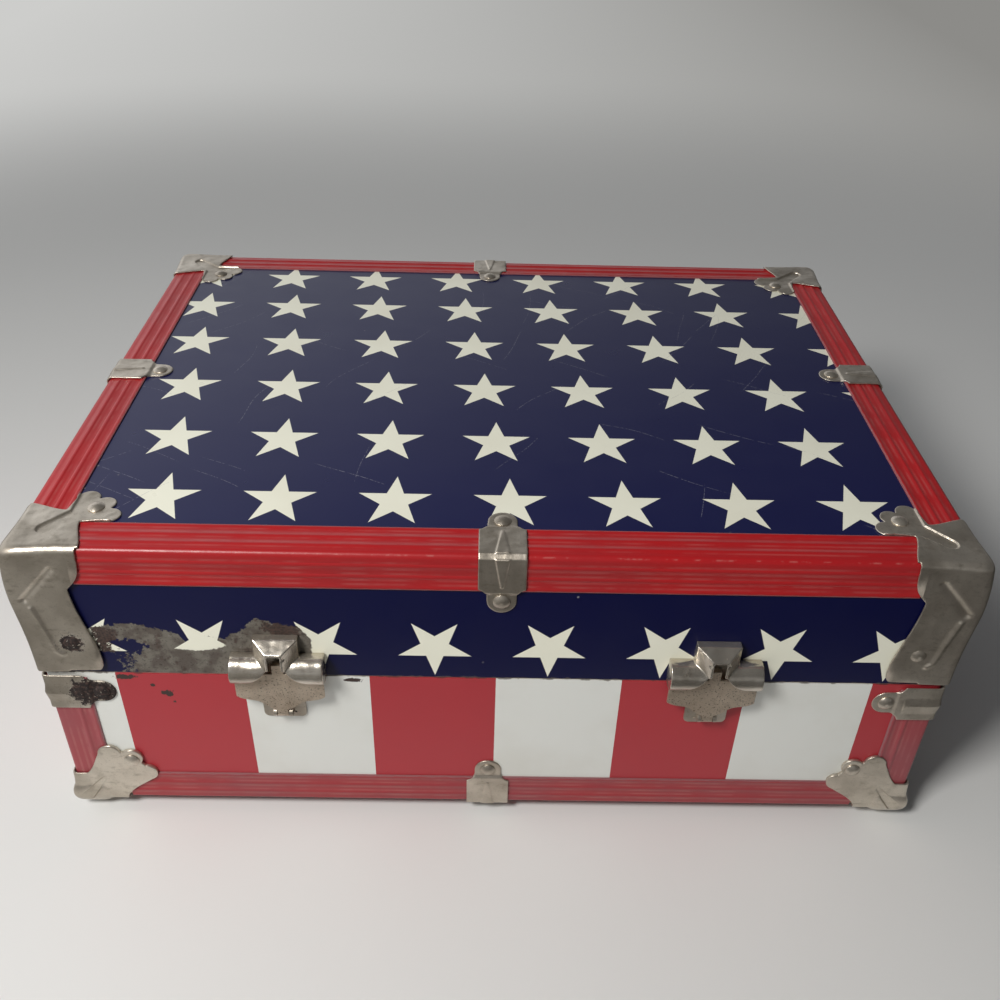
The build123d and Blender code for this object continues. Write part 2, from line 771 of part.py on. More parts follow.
with BuildPart() as base_corner_clamps:
    add(corner_clamp.part)
    mirror(corner_clamp.part, about=Plane.YZ)
    mirror(base_corner_clamps.part, about=Plane.XZ)
keep(base_corner_clamps, "base_corner_clamps")

# ---------------------------------------------------------------- hasps
hasp_plate_in = hasp_plate_out - hasp_wall
hasp_tail = hasp_tail_width / 2
ear_inner = hasp_tail + hasp_turn_gap
hook_reach = 2.6  # tip of the hook from the tin
hook_clearance = 0.1  # the hook springs past the ledge, so at rest it just clears it
ledge_out = hook_reach - hook_clearance
ledge_rise = hasp_rise - hasp_wall - hasp_hook_gap


def sized(points, width, height):
    """Outline given in parts of a width and a height."""
    return [(a * width, b * height) for a, b in points]


# Half outlines about the middle line, heights from the parting line
shield_bowl = [(0, -0.867), (0.16, -0.842), (0.34, -0.724), (0.49, -0.597), (0.76, -0.53), (1, -0.42)]
shield_bottom = sized(shield_bowl, hasp_half_width, hasp_pin_drop)
shield_brow = [(1, -0.02), (0.86, 0.045), (0.56, 0.163), (0.38, 0.25), (0.25, 0.286)]
shield_top = sized(shield_brow, hasp_half_width, hasp_pin_drop)
arch_edge = [(1.17, 0.12), (0.83, 0.253), (0.537, 0.573), (0.317, 1.093), (0.166, 1.573)]
catch_arch = sized(arch_edge, catch_half_width, barrel_rise)


def front_plane(x):
    """On the tin of the front wall: x along it, y the height above the parting line, z out."""
    return Plane(origin=(x, -skin_y, parting), x_dir=(1, 0, 0), z_dir=(0, -1, 0))


def front_section(x):
    """Across the front wall: x out of it, y the height above the parting line."""
    return Plane(origin=(x, -skin_y, parting), x_dir=(0, -1, 0), z_dir=(-1, 0, 0))


def make_latch_plate(x):
    """Plate riveted under the parting line, with two ears, the hasp's pin and curled tabs."""
    slot_middle = plate_slot_rise + plate_slot_height / 2 - plate_drop
    with BuildPart() as plate:
        with BuildSketch(front_plane(x)):
            with Locations((0, -plate_drop)):
                tall = plate_drop - plate_gap
                Rectangle(2 * plate_half_width, tall, align=(Align.CENTER, Align.MIN))
            fillet(vertices().group_by(Axis.Y)[0], plate_corner)
        extrude(amount=plate_wall)
        for start in (plate_slot_width / 2, -plate_slot_width / 2 - plate_curl_width):
            with BuildSketch(front_section(x).offset(start)):
                with Locations((plate_wall, slot_middle)):
                    Circle(plate_curl)
            extrude(amount=plate_curl_width)
        with BuildSketch(front_plane(x)):
            with Locations((0, slot_middle)):
                Rectangle(plate_slot_width, plate_slot_height)
        extrude(amount=2 * plate_wall, mode=Mode.SUBTRACT)
        for start in (ear_inner, -ear_inner - ear_wall):
            with BuildSketch(front_section(x).offset(start)):
                with Locations((0, -hasp_pin_drop)):
                    Rectangle(hasp_pin_out, 2 * ear_radius, align=(Align.MIN, Align.CENTER))
                with Locations((hasp_pin_out, -hasp_pin_drop)):
                    Circle(ear_radius)
            extrude(amount=ear_wall)
        with BuildSketch(front_section(x)):
            with Locations((hasp_pin_out, -hasp_pin_drop)):
                Circle(hasp_pin_radius)
        extrude(amount=ear_inner + ear_wall / 2, both=True)
    return plate


def make_hasp(x):
    """Shield that turns down on its pin, with a tongue and hook at its top."""
    with BuildPart() as hasp:
        with BuildSketch(front_plane(x).offset(hasp_plate_in)):
            with BuildLine():
                Spline(*shield_bottom)
                Line(shield_bottom[-1], shield_top[0])
                Spline(*shield_top)
                Line(shield_top[-1], (0, shield_top[-1][1]))
                mirror(about=Plane.YZ)
            make_face()
            with Locations((0, -hasp_pin_drop)):
                tall = hasp_pin_drop + hasp_rise
                Rectangle(hasp_tail_width, tall, align=(Align.CENTER, Align.MIN))
        extrude(amount=hasp_wall)
        with BuildSketch(front_plane(x).offset(hook_reach)):
            with Locations((0, hasp_rise)):
                Rectangle(hasp_tail_width, hasp_wall, align=(Align.CENTER, Align.MAX))
        extrude(amount=hasp_plate_out - hook_reach)
        with BuildSketch(front_section(x)):
            with Locations((hasp_pin_out, -hasp_pin_drop)):
                Circle(hasp_knuckle)
        extrude(amount=hasp_tail, both=True)
        with BuildSketch(front_section(x)):
            with Locations((hasp_pin_out, -hasp_pin_drop)):
                Circle(hasp_pin_radius + pin_bore_gap)
        extrude(amount=hasp_tail, both=True, mode=Mode.SUBTRACT)
    return hasp


def hood_block(x, wall):
    """Hood of the catch, drawn in by wall: a low box, then a loft to its narrow front."""
    foot = catch_foot - (small_step if wall else 0)
    half = hood_half_width - wall
    top = hood_rise - wall
    start = plate_wall if wall else 0
    with BuildPart() as block:
        with BuildSketch(front_plane(x).offset(start)):
            with Locations((0, foot)):
                Rectangle(2 * half, top - foot, align=(Align.CENTER, Align.MIN))
        extrude(amount=hood_step - start)
        with BuildSketch(front_plane(x).offset(hood_step)):
            with Locations((0, foot)):
                Rectangle(2 * half, top - foot, align=(Align.CENTER, Align.MIN))
        with BuildSketch(front_plane(x).offset(hood_out - wall)):
            with Locations((0, foot)):
                front_top = hood_front_rise - wall
                front_half = hood_front_half - wall / 2
                Rectangle(2 * front_half, front_top - foot, align=(Align.CENTER, Align.MIN))
        loft(ruled=True)
    return block.part


def make_catch(x):
    """Pressed housing on the lid: two rolled shoulders and a hood with a slot."""
    with BuildPart() as catch:
        with BuildSketch(front_section(x)):
            with Locations((barrel_out, barrel_rise)):
                Circle(barrel_radius)
            with Locations((0, barrel_rise)):
                tall = 3 * barrel_radius
                Rectangle(tall, tall, align=(Align.MIN, Align.CENTER), mode=Mode.INTERSECT)
        extrude(amount=catch_half_width, both=True)
        add(hood_block(x, 0))
        # Dimples beside the slot
        lean = dimple_radius - dimple_depth
        for sign in (-1, 1):
            across = hood_front_half + dimple_radius / 2 + lean / 2
            out = hood_out - dimple_radius / 2 + lean
            with Locations(front_plane(x).location * Location((sign * across, dimple_rise, out))):
                Sphere(dimple_radius, mode=Mode.SUBTRACT)
        # Hollow it to the thickness of the sheet
        with BuildSketch(front_section(x)):
            with Locations((barrel_out, barrel_rise)):
                Circle(barrel_radius - hasp_wall)
        extrude(amount=catch_half_width - hasp_wall, both=True, mode=Mode.SUBTRACT)
        add(hood_block(x, hasp_wall), mode=Mode.SUBTRACT)
        # Back plate and the ledge that the hook drops over
        with BuildSketch(front_plane(x)):
            with Locations((0, catch_foot)):
                tall = hood_rise - catch_foot
                Rectangle(2 * hood_half_width, tall, align=(Align.CENTER, Align.MIN))
        extrude(amount=plate_wall)
        with BuildSketch(front_plane(x)):
            with Locations((0, ledge_rise)):
                Rectangle(2 * ledge_half, ledge_wall, align=(Align.CENTER, Align.MAX))
        extrude(amount=ledge_out)
        # Arched mouth and slot
        with BuildSketch(front_plane(x).offset(hasp_plate_in - small_step)):
            with BuildLine():
                Polyline((0, catch_arch[-1][1]), catch_arch[-1])
                Spline(*reversed(catch_arch))
                low = -barrel_radius
                Polyline(catch_arch[0], (catch_arch[0][0], low), (0, low))
                mirror(about=Plane.YZ)
            make_face()
            with Locations((0, slot_rise)):
                Rectangle(2 * slot_half, slot_rise, align=(Align.CENTER, Align.MAX))
        extrude(amount=hood_out, mode=Mode.SUBTRACT)
    return catch


for side, sign in (("left", -1), ("right", 1)):
    x = sign * hasp_spacing / 2
    keep(make_latch_plate(x), f"latch_plate_{side}")
    keep(make_hasp(x), f"latch_hasp_{side}")
    keep(make_catch(x), f"latch_catch_{side}")

# ---------------------------------------------------------------- back hinges
knuckle_gap = 0.2
knuckle_half = 0.2 * hinge_length


def back_plane(x):
    """On the tin of the back wall at the parting line: y up, z out."""
    return Plane(origin=(x, skin_y, parting), x_dir=(-1, 0, 0), z_dir=(0, 1, 0))


def back_section(x):
    """Across the back wall: x out of it, y up."""
    return Plane(origin=(x, skin_y, parting), x_dir=(0, 1, 0), z_dir=(1, 0, 0))


def knuckle_profile(up):
    """Rolled end of a leaf round the pin, tangent to the leaf."""
    with BuildSketch() as knuckle:
        with Locations((hinge_out, 0)):
            Circle(hinge_barrel)
        Rectangle(hinge_out, hinge_barrel, align=(Align.MIN, Align.MIN if up > 0 else Align.MAX))
    return knuckle.sketch_local


def make_leaf_plate(x, up, middle):
    """Flat leaf with the relief that clears the other leaf's knuckles."""
    half = hinge_length / 2
    with BuildSketch() as leaf:
        with Locations((0, up * knuckle_gap)):
            Rectangle(hinge_length, hinge_leaf, align=(Align.CENTER, Align.MIN if up > 0 else Align.MAX))
        if middle:
            with Locations((-half, 0), (half, 0)):
                Rectangle(2 * (half - knuckle_half + knuckle_gap), 2 * hinge_relief, mode=Mode.SUBTRACT)
        else:
            Rectangle(2 * (knuckle_half + knuckle_gap), 2 * hinge_relief, mode=Mode.SUBTRACT)
    return leaf.sketch_local


for side, sign in (("left", -1), ("right", 1)):
    x = sign * hinge_spacing / 2
    with BuildPart() as hinge_base:
        with BuildSketch(back_plane(x)):
            add(make_leaf_plate(x, -1, middle=False))
        extrude(amount=hinge_wall)
        for start in (knuckle_half + knuckle_gap, -hinge_length / 2):
            with BuildSketch(back_section(x).offset(start)):
                add(knuckle_profile(-1))
            extrude(amount=hinge_length / 2 - knuckle_half - knuckle_gap)
        with BuildSketch(back_section(x)):
            with Locations((hinge_out, 0)):
                Circle(hinge_pin)
        extrude(amount=hinge_length / 2, both=True)
    keep(hinge_base, f"hinge_base_{side}")
    with BuildPart() as hinge_lid:
        with BuildSketch(back_plane(x)):
            add(make_leaf_plate(x, 1, middle=True))
        extrude(amount=hinge_wall)
        with BuildSketch(back_section(x)):
            add(knuckle_profile(1))
        extrude(amount=knuckle_half, both=True)
        # Stop lug: at full opening it lies on the leaf below
        with Locations(Location((x, skin_y + hinge_out, parting), (hinge_open, 0, 0))):
            with Locations((0, hinge_wall + 2 * seat_gap - hinge_out, 0)):
                Box(2 * knuckle_half, hinge_lug_wall, hinge_lug, align=(Align.CENTER, Align.MIN, Align.MAX))
        with BuildSketch(back_section(x)):
            with Locations((hinge_out, 0)):
                Circle(hinge_pin + pin_bore_gap)
        extrude(amount=knuckle_half, both=True, mode=Mode.SUBTRACT)
    keep(hinge_lid, f"hinge_lid_{side}")

# ---------------------------------------------------------------- end handles
eye_bore_gap = 0.08
eye_radius = handle_rod + eye_bore_gap + eye_wall
handle_leg = handle_span / 2 - eye_width / 2 - handle_rod - handle_play
handle_shoulder = 4.0
handle_end = handle_span / 2 + eye_width / 2 + 0.5


def end_plane(sign):
    """On the tin of an end wall at the handle's pivot height: y up, z out."""
    pivot = (sign * skin_x, 0, foot_drop + handle_height)
    return Plane(origin=pivot, x_dir=(0, sign, 0), z_dir=(sign, 0, 0))


for side, sign in (("left", -1), ("right", 1)):
    wall = end_plane(sign)
    across = Plane(origin=wall.origin, x_dir=wall.z_dir, z_dir=wall.z_dir.cross(wall.y_dir))
    with BuildPart() as eyes:
        for place in (-handle_span / 2, handle_span / 2):
            with BuildSketch(wall):
                with Locations((place, 0)):
                    RectangleRounded(eye_plate_width, eye_plate_height, eye_plate_corner)
            extrude(amount=eye_plate_wall)
            with BuildSketch(across.offset(-place)):
                Rectangle(handle_out, 2 * handle_rod, align=(Align.MIN, Align.CENTER))
                with Locations((handle_out, 0)):
                    Circle(eye_radius)
                    Circle(handle_rod + eye_bore_gap, mode=Mode.SUBTRACT)
            extrude(amount=eye_width / 2, both=True)
    keep(eyes, f"handle_eyes_{side}")
    with BuildPart() as handle:
        with BuildLine(wall.offset(handle_out)) as route:
            FilletPolyline(
                (-handle_end, 0),
                (-handle_leg, 0),
                (-handle_leg, -handle_drop),
                (handle_leg, -handle_drop),
                (handle_leg, 0),
                (handle_end, 0),
                radius=[handle_shoulder, handle_bend, handle_bend, handle_shoulder],
            )
        with BuildSketch(Plane(origin=route.line @ 0, z_dir=route.line % 0)):
            Circle(handle_rod)
        sweep()
    keep(handle, f"handle_{side}")

# ---------------------------------------------------------------- rivets
def make_rivet(radius, height):
    """Low domed head with a short upright rim."""
    with BuildPart() as rivet:
        with BuildSketch(Plane.XZ):
            with BuildLine():
                dome = height - rivet_rim
                dome_radius = (radius * radius + dome * dome) / (2 * dome)
                Polyline((0, height), (0, 0), (radius, 0), (radius, rivet_rim))
                RadiusArc((radius, rivet_rim), (0, height), -dome_radius)
            make_face()
        revolve(axis=Axis.Z)
    return rivet.part


def seat(x, y, z, direction):
    return Plane(origin=(x, y, z), z_dir=direction).location


def corner_seats(along, level, out):
    """Rivet seats at one place on the two walls of every corner."""
    seats = []
    for sx, sy in CORNERS.values():
        seats.append(seat(-sx * (skin_x - along), -sy * (skin_y + out), level, (0, -sy, 0)))
        seats.append(seat(-sx * (skin_x + out), -sy * (skin_y - along), level, (-sx, 0, 0)))
    return seats


def clamp_seats(frames):
    seats = []
    for frame in frames:
        seats.append(frame.location * Location((0, tongue_rivet, tongue_wall)))
        seats.append(frame.location * Location((0, -tongue_wall, -tongue_rivet), (90, 0, 0)))
    return seats


def plane_seats(plane, places, out):
    return [plane.offset(out).location * Location((a, b, 0)) for a, b in places]


cap_rivet = make_rivet(rivet_radius, rivet_height)
small_rivet = make_rivet(small_rivet_radius, small_rivet_height)

lid_seats = corner_seats(leg_rivet[0], skin_top + leg_rivet[1], cap_wall) + clamp_seats(lid_clamp_frames)
for sx, sy in CORNERS.values():
    x, y = -sx * (skin_x - leaf_rivet[0]), -sy * (skin_y - leaf_rivet[1])
    lid_seats.append(seat(x, y, skin_top + cap_wall, (0, 0, 1)))
base_seats = corner_seats(foot_rivet[0], skin_floor + foot_rivet[1], cap_proud)
base_seats += corner_seats(tongue_rivet, corner_clamp_middle, tongue_wall)
base_seats += clamp_seats(base_clamp_frames)

lid_small = []
base_small = []
leaf_places = [(place * hinge_length, 0.6 * hinge_leaf) for place in (-0.34, 0, 0.34)]
for sign in (-1, 1):
    hinge_at = back_plane(sign * hinge_spacing / 2)
    lid_small += plane_seats(hinge_at, leaf_places, hinge_wall)
    base_small += plane_seats(hinge_at, [(a, -b) for a, b in leaf_places], hinge_wall)
    plate_places = [(place * plate_half_width, -plate_rivet_drop) for place in (-0.6, 0.6)]
    base_small += plane_seats(front_plane(sign * hasp_spacing / 2), plate_places, plate_wall)
    eye_rises = (-eye_rivet_rise, eye_rivet_rise)
    eye_places = [(a, b) for a in (-handle_span / 2, handle_span / 2) for b in eye_rises]
    base_small += plane_seats(end_plane(sign), eye_places, eye_plate_wall)

for name, large, small in (("lid_rivets", lid_seats, lid_small), ("base_rivets", base_seats, base_small)):
    with BuildPart() as rivets:
        with Locations(*large):
            add(cap_rivet)
        with Locations(*small):
            add(small_rivet)
    keep(rivets, name)
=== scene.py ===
# %% [markdown]
# A small tin trunk. Its boards, tin, bindings and fittings come from the CAD frame; this
# script gives every piece its finish: printed stars and stripes with real wear, fluted
# red enamel, and nickel plate that has gone dull and pitted.

import json
from math import copysign, exp, hypot, pi, radians, sin

import bpy
from mathutils import Matrix, Vector

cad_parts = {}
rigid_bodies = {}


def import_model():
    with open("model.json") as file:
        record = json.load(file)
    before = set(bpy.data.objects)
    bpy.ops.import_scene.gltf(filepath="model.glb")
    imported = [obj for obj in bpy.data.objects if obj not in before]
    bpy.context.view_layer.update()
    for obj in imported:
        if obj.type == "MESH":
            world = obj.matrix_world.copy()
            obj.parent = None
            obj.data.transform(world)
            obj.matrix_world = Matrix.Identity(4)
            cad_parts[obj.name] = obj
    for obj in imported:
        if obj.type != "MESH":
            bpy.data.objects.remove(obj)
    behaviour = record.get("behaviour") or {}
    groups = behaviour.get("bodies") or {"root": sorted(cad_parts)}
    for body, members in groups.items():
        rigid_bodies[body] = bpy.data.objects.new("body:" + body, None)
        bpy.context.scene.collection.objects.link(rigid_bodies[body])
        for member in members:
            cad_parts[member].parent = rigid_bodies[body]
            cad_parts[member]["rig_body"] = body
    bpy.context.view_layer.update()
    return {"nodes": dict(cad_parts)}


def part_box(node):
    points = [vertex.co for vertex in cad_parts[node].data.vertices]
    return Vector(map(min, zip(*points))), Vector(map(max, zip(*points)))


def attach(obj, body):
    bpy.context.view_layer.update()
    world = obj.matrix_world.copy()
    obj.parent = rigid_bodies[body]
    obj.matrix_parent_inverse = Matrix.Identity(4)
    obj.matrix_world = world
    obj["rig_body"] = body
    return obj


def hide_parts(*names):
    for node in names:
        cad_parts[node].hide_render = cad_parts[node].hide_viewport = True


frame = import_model()
nodes = frame["nodes"]
MM = 0.001

# %% [markdown]
# All later work needs a few sizes. They are read off the frame, so that print and wear
# stay on the pieces they belong to.

# %% Sizes from the frame, in millimetres
def box_mm(node):
    low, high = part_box(node)
    return low / MM, high / MM


tin_low, tin_high = box_mm("base_skin")
lid_hem = box_mm("lid_skin")[0].z
outer_left = box_mm("base_binding_left")[0].x
outer_front = box_mm("base_binding_front")[0].y
binding_floor = box_mm("base_binding_front")[0].z
binding_top = box_mm("lid_binding_front")[1].z
print("tin", [round(v, 1) for v in (*tin_low, *tin_high)], "outer left", round(outer_left, 1))

# %% [markdown]
# The camera stands in front of the trunk and above it, and looks down on the lid. Its turn
# is given as yaw, pitch and roll, and the focal length as a share of the sensor's width.

# %% Camera
camera_place = Vector((-7.35, -484.0, 428.4)) * MM
camera_yaw = radians(-1.117)
camera_pitch = radians(-35.6)
camera_roll = radians(-1.68)
sensor = 36.0
focal_share = 1.0338
near_clip = 0.01

camera_turn = (
    Matrix.Rotation(camera_yaw, 3, "Z")
    @ Matrix.Rotation(camera_pitch, 3, "X")
    @ Matrix.Rotation(camera_roll, 3, "Y")
)
camera_data = bpy.data.cameras.new("camera")
camera_data.sensor_width = sensor
camera_data.lens = focal_share * sensor
camera_data.clip_start = near_clip
camera = bpy.data.objects.new("camera", camera_data)
bpy.context.scene.collection.objects.link(camera)
level_camera = Matrix(((1, 0, 0), (0, 0, -1), (0, 1, 0)))
camera.matrix_world = Matrix.Translation(camera_place) @ (camera_turn @ level_camera).to_4x4()
bpy.context.scene.camera = camera
print("camera at", [round(v, 3) for v in camera.location])

# %% [markdown]
# Finishes are written as sums. A Value wraps one number that changes over a surface, and
# each operator on it adds the Math node that a person would drag in by hand. Tree adds any
# other node, for a material, the floor or the room alike.

# %% Shader arithmetic
class Value:
    """A number on a surface. Arithmetic on it adds Math nodes."""

    def __init__(self, tree, socket):
        self.tree = tree
        self.socket = socket

    def math(self, operation, *others):
        inputs = dict(enumerate((self, *others)))
        made = self.tree.node("ShaderNodeMath", {"operation": operation}, inputs)
        return Value(self.tree, made.outputs[0])

    def __add__(self, other):
        return self.math("ADD", other)

    def __radd__(self, other):
        return self.math("ADD", other)

    def __sub__(self, other):
        return self.math("SUBTRACT", other)

    def __rsub__(self, other):
        return (self * -1.0).math("ADD", other)

    def __mul__(self, other):
        return self.math("MULTIPLY", other)

    def __rmul__(self, other):
        return self.math("MULTIPLY", other)

    def __truediv__(self, other):
        return self.math("DIVIDE", other)

    def __gt__(self, other):
        return self.math("GREATER_THAN", other)

    def __lt__(self, other):
        return self.math("LESS_THAN", other)

    def __abs__(self):
        return self.math("ABSOLUTE")

    def wrapped(self, low, high):
        return self.math("WRAP", high, low)

    def repeat(self, period):
        return self.math("FLOORED_MODULO", period)

    def lower_of(self, other):
        return self.math("MINIMUM", other)

    def higher_of(self, other):
        return self.math("MAXIMUM", other)

    def ramp(self, low, high, start=0.0, end=1.0):
        """Straight from start at low to end at high, and flat outside."""
        inputs = {"Value": self, "From Min": low, "From Max": high, "To Min": start, "To Max": end}
        made = self.tree.node("ShaderNodeMapRange", {"clamp": True}, inputs)
        return Value(self.tree, made.outputs[0])

    def soft(self, low, high):
        """0 at low, 1 at high, smooth between."""
        inputs = {"Value": self, "From Min": low, "From Max": high}
        made = self.tree.node("ShaderNodeMapRange", {"interpolation_type": "SMOOTHSTEP"}, inputs)
        return Value(self.tree, made.outputs[0])


class Tree:
    """The nodes of a material or of the room."""

    def __init__(self, owner):
        owner.use_nodes = True
        self.tree = owner.node_tree

    def node(self, kind, settings, inputs):
        made = self.tree.nodes.new(kind)
        for name, value in settings.items():
            setattr(made, name, value)
        for name, value in inputs.items():
            self.join(value, made.inputs[name])
        return made

    def join(self, value, socket):
        value = value.socket if isinstance(value, Value) else value
        if isinstance(value, bpy.types.NodeSocket):
            self.tree.links.new(value, socket)
        else:
            socket.default_value = value

    def split(self, vector):
        """The three numbers of a vector."""
        parts = self.node("ShaderNodeSeparateXYZ", {}, {0: vector}).outputs
        return [Value(self, part) for part in parts]

    def ray(self, kind):
        """1 where the surface is seen by this kind of ray."""
        return Value(self, self.node("ShaderNodeLightPath", {}, {}).outputs[kind])

    def mix(self, mask, under, over):
        """Colour over where mask is 1, colour under where it is 0."""
        made = self.node("ShaderNodeMix", {"data_type": "RGBA"}, {0: mask, 6: under, 7: over})
        return made.outputs[2]


def rgb(red, green, blue):
    """A colour as seen on a screen, 0 to 255, as the linear colour a shader takes."""

    def linear(level):
        level /= 255
        return level / 12.92 if level <= 0.04045 else ((level + 0.055) / 1.055) ** 2.4

    return (linear(red), linear(green), linear(blue), 1.0)


class Finish(Tree):
    """A material, its place on the trunk in millimetres, and the textures used on it.

    along is measured from the outer left of the trunk, height from the bottom bindings.
    """

    def __init__(self, name):
        self.material = bpy.data.materials.new(name)
        super().__init__(self.material)
        self.shader = self.tree.nodes["Principled BSDF"]
        coordinates = self.node("ShaderNodeTexCoord", {}, {}).outputs["Object"]
        inputs = {0: coordinates, "Scale": 1 / MM}
        self.place = self.node("ShaderNodeVectorMath", {"operation": "SCALE"}, inputs).outputs[0]
        self.x, self.y, self.z = self.split(self.place)
        self.along = self.x - outer_left
        self.height = self.z - binding_floor

    def moved(self, shift=(0, 0, 0), stretch=(1, 1, 1)):
        """The place, shifted and stretched, for a texture that should not line up."""
        inputs = {"Vector": self.place, "Location": shift, "Scale": stretch}
        return self.node("ShaderNodeMapping", {}, inputs).outputs[0]

    def noise(self, size, detail=2.0, shift=(0, 0, 0), stretch=(1, 1, 1), rough=0.5):
        """Cloudy noise, 0 to 1, with patches of about this size."""
        inputs = {"Vector": self.moved(shift, stretch), "Scale": 1 / size}
        inputs.update({"Detail": detail, "Roughness": rough})
        return Value(self, self.node("ShaderNodeTexNoise", {}, inputs).outputs[0])

    def dots(self, size, shift=(0, 0, 0)):
        """Distance to the nearest of some scattered points, 0 on the point."""
        inputs = {"Vector": self.moved(shift), "Scale": 1 / size, "Randomness": 1.0}
        return Value(self, self.node("ShaderNodeTexVoronoi", {}, inputs).outputs["Distance"])

    def near(self, spot, radius):
        """1 inside a rough-edged round spot, and on specks scattered close around it."""
        ragged, scatter = 1.7, 1.7
        away = self.node("ShaderNodeVectorMath", {"operation": "DISTANCE"}, {0: self.place, 1: spot})
        away = Value(self, away.outputs["Value"])
        uneven = (self.noise(3.2, 5.0, rough=0.7) - 0.5) * radius * ragged
        scattered = self.noise(0.9, 3.0, rough=0.7).soft(0.62, 0.66) * away.soft(radius * scatter, radius)
        return (away + uneven).soft(radius, radius * 0.85).higher_of(scattered)

    def relief(self, height, depth, strength=1.0):
        """Bump from a height of 0 to 1 that stands for this many millimetres."""
        inputs = {"Strength": strength, "Distance": depth * MM, "Height": height}
        return self.node("ShaderNodeBump", {}, inputs).outputs[0]

    def set(self, **inputs):
        """Join values, colours or links to the shader's own inputs."""
        names = {"colour": "Base Color", "rough": "Roughness", "metal": "Metallic"}
        names.update({"normal": "Normal", "ior": "IOR"})
        for name, value in inputs.items():
            self.join(value, self.shader.inputs[names[name]])
        return self.material

# %% [markdown]
# The trunk stands on a wide sheet of pale paper. Near the trunk the paper is lit like
# everything else and carries its shadow; further off it fades into a backdrop of set tones,
# paler on the left and darkened towards the right by painted shade. Polished metal would
# mirror all that paper as glare, so a reflection sees a dim painted reflection away from the
# trunk instead, darker towards the right, as if black cards stood around as in a studio.

# %% Floor
floor_size = 12.0
fade_near, fade_far = 420.0, 1200.0
backdrop_half = 900.0
# Backdrop tones from left to right; the darker ones on the right are painted shade.
backdrop_shade_tones = rgb(205, 205, 203), rgb(178, 178, 176), rgb(140, 139, 136)
# Painted reflection: where and how dark polished metal sees the paper, darker towards the right.
painted_reflection_near, painted_reflection_far = 20.0, 120.0
painted_reflection_places = (-210.0, -50.0, 130.0)
painted_reflection_tones = rgb(118, 116, 112), rgb(62, 60, 57), rgb(34, 32, 30)
paper_light, paper_dark = rgb(230, 230, 228), rgb(226, 226, 224)


def three_tones(tree, at, places, tones):
    """A colour that runs through three tones as a value passes three places."""
    tone = tree.mix(at.ramp(places[0], places[1]), tones[0], tones[1])
    return tree.mix(at.ramp(places[1], places[2]), tone, tones[2])


def deselect():
    if bpy.context.object and bpy.context.object.mode != "OBJECT":
        bpy.ops.object.mode_set(mode="OBJECT")
    bpy.ops.object.select_all(action="DESELECT")


def only(piece):
    """Select one piece and make it the active one."""
    deselect()
    piece.select_set(True)
    bpy.context.view_layer.objects.active = piece


deselect()
bpy.ops.mesh.primitive_plane_add(size=floor_size)
floor = bpy.context.object
floor.name = "floor"

paper = Finish("paper")
beyond_side = (abs(paper.x) - tin_high.x).higher_of(0)
beyond_front = (abs(paper.y) - tin_high.y).higher_of(0)
away = (beyond_side * beyond_side + beyond_front * beyond_front).math("SQRT")
# Painted shade: the far backdrop's tone darkens from left to right.
backdrop = three_tones(paper, paper.x, (-backdrop_half, 0, backdrop_half), backdrop_shade_tones)
paper.set(colour=paper.mix(paper.noise(400.0, 3.0), paper_light, paper_dark), rough=0.8)
plain = paper.shader.outputs[0]
faded = paper.node("ShaderNodeEmission", {}, {"Color": backdrop}).outputs[0]
# Painted reflection: glossy rays see a dim emission here in place of the lit paper.
painted_reflection = three_tones(paper, paper.x, painted_reflection_places, painted_reflection_tones)
dim = paper.node("ShaderNodeEmission", {}, {"Color": painted_reflection}).outputs[0]
far_off = paper.ray("Is Camera Ray") * away.soft(fade_near, fade_far)
mirrored = paper.ray("Is Glossy Ray") * away.soft(painted_reflection_near, painted_reflection_far)
seen = paper.node("ShaderNodeMixShader", {}, {0: far_off, 1: plain, 2: faded}).outputs[0]
seen = paper.node("ShaderNodeMixShader", {}, {0: mirrored, 1: seen, 2: dim}).outputs[0]
paper.join(seen, paper.tree.nodes["Material Output"].inputs["Surface"])
floor.data.materials.append(paper.material)
print("floor:", floor_size, "m, backdrop from", fade_near, "to", fade_far, "mm")

# %% [markdown]
# Light: one small softbox in front, on the left and above, and a room that is bright
# towards the horizon and dark overhead. The room is brighter behind and on the left as
# well, so that the left-hand fittings shine and the right-hand ones stay dim.

# %% Lamps and room
def soft_lamp(name, place, target, size, power, tint):
    data = bpy.data.lights.new(name, "AREA")
    data.shape = "RECTANGLE"
    data.size, data.size_y = size
    data.energy = power
    data.color = tint
    lamp = bpy.data.objects.new(name, data)
    bpy.context.scene.collection.objects.link(lamp)
    lamp.location = place
    lamp.rotation_euler = (Vector(target) - Vector(place)).to_track_quat("-Z", "Y").to_euler()


key_place, key_target = (-0.46, -0.6, 0.85), (0, 0, 0.1)
key_size, key_power, key_tint = (0.26, 0.26), 8.4, (1.0, 0.985, 0.96)
room_dark, room_bright = 0.62, 0.34
room_lean = 0.4
room_gain, room_least = 0.52, 0.10
side_reach, left_gain, right_gain = 0.45, 1.5, 0.45
front_end, back_start, front_gain = -0.6, 0.2, 0.4
room_tint = rgb(250, 252, 255)
horizon_half = 0.15
soft_lamp("key", key_place, key_target, key_size, key_power, key_tint)

room = bpy.data.worlds.new("room")
bpy.context.scene.world = room
sky = Tree(room)
rightward, backward, upward = sky.split(sky.node("ShaderNodeTexCoord", {}, {}).outputs["Generated"])
glow = (upward + rightward * room_lean).soft(room_dark, room_bright) * room_gain + room_least
glow = glow * rightward.ramp(-side_reach, side_reach, left_gain, right_gain)
glow = glow * backward.ramp(front_end, back_start, front_gain, 1.0)
by_camera = sky.ray("Is Camera Ray")
background = sky.tree.nodes["Background"]
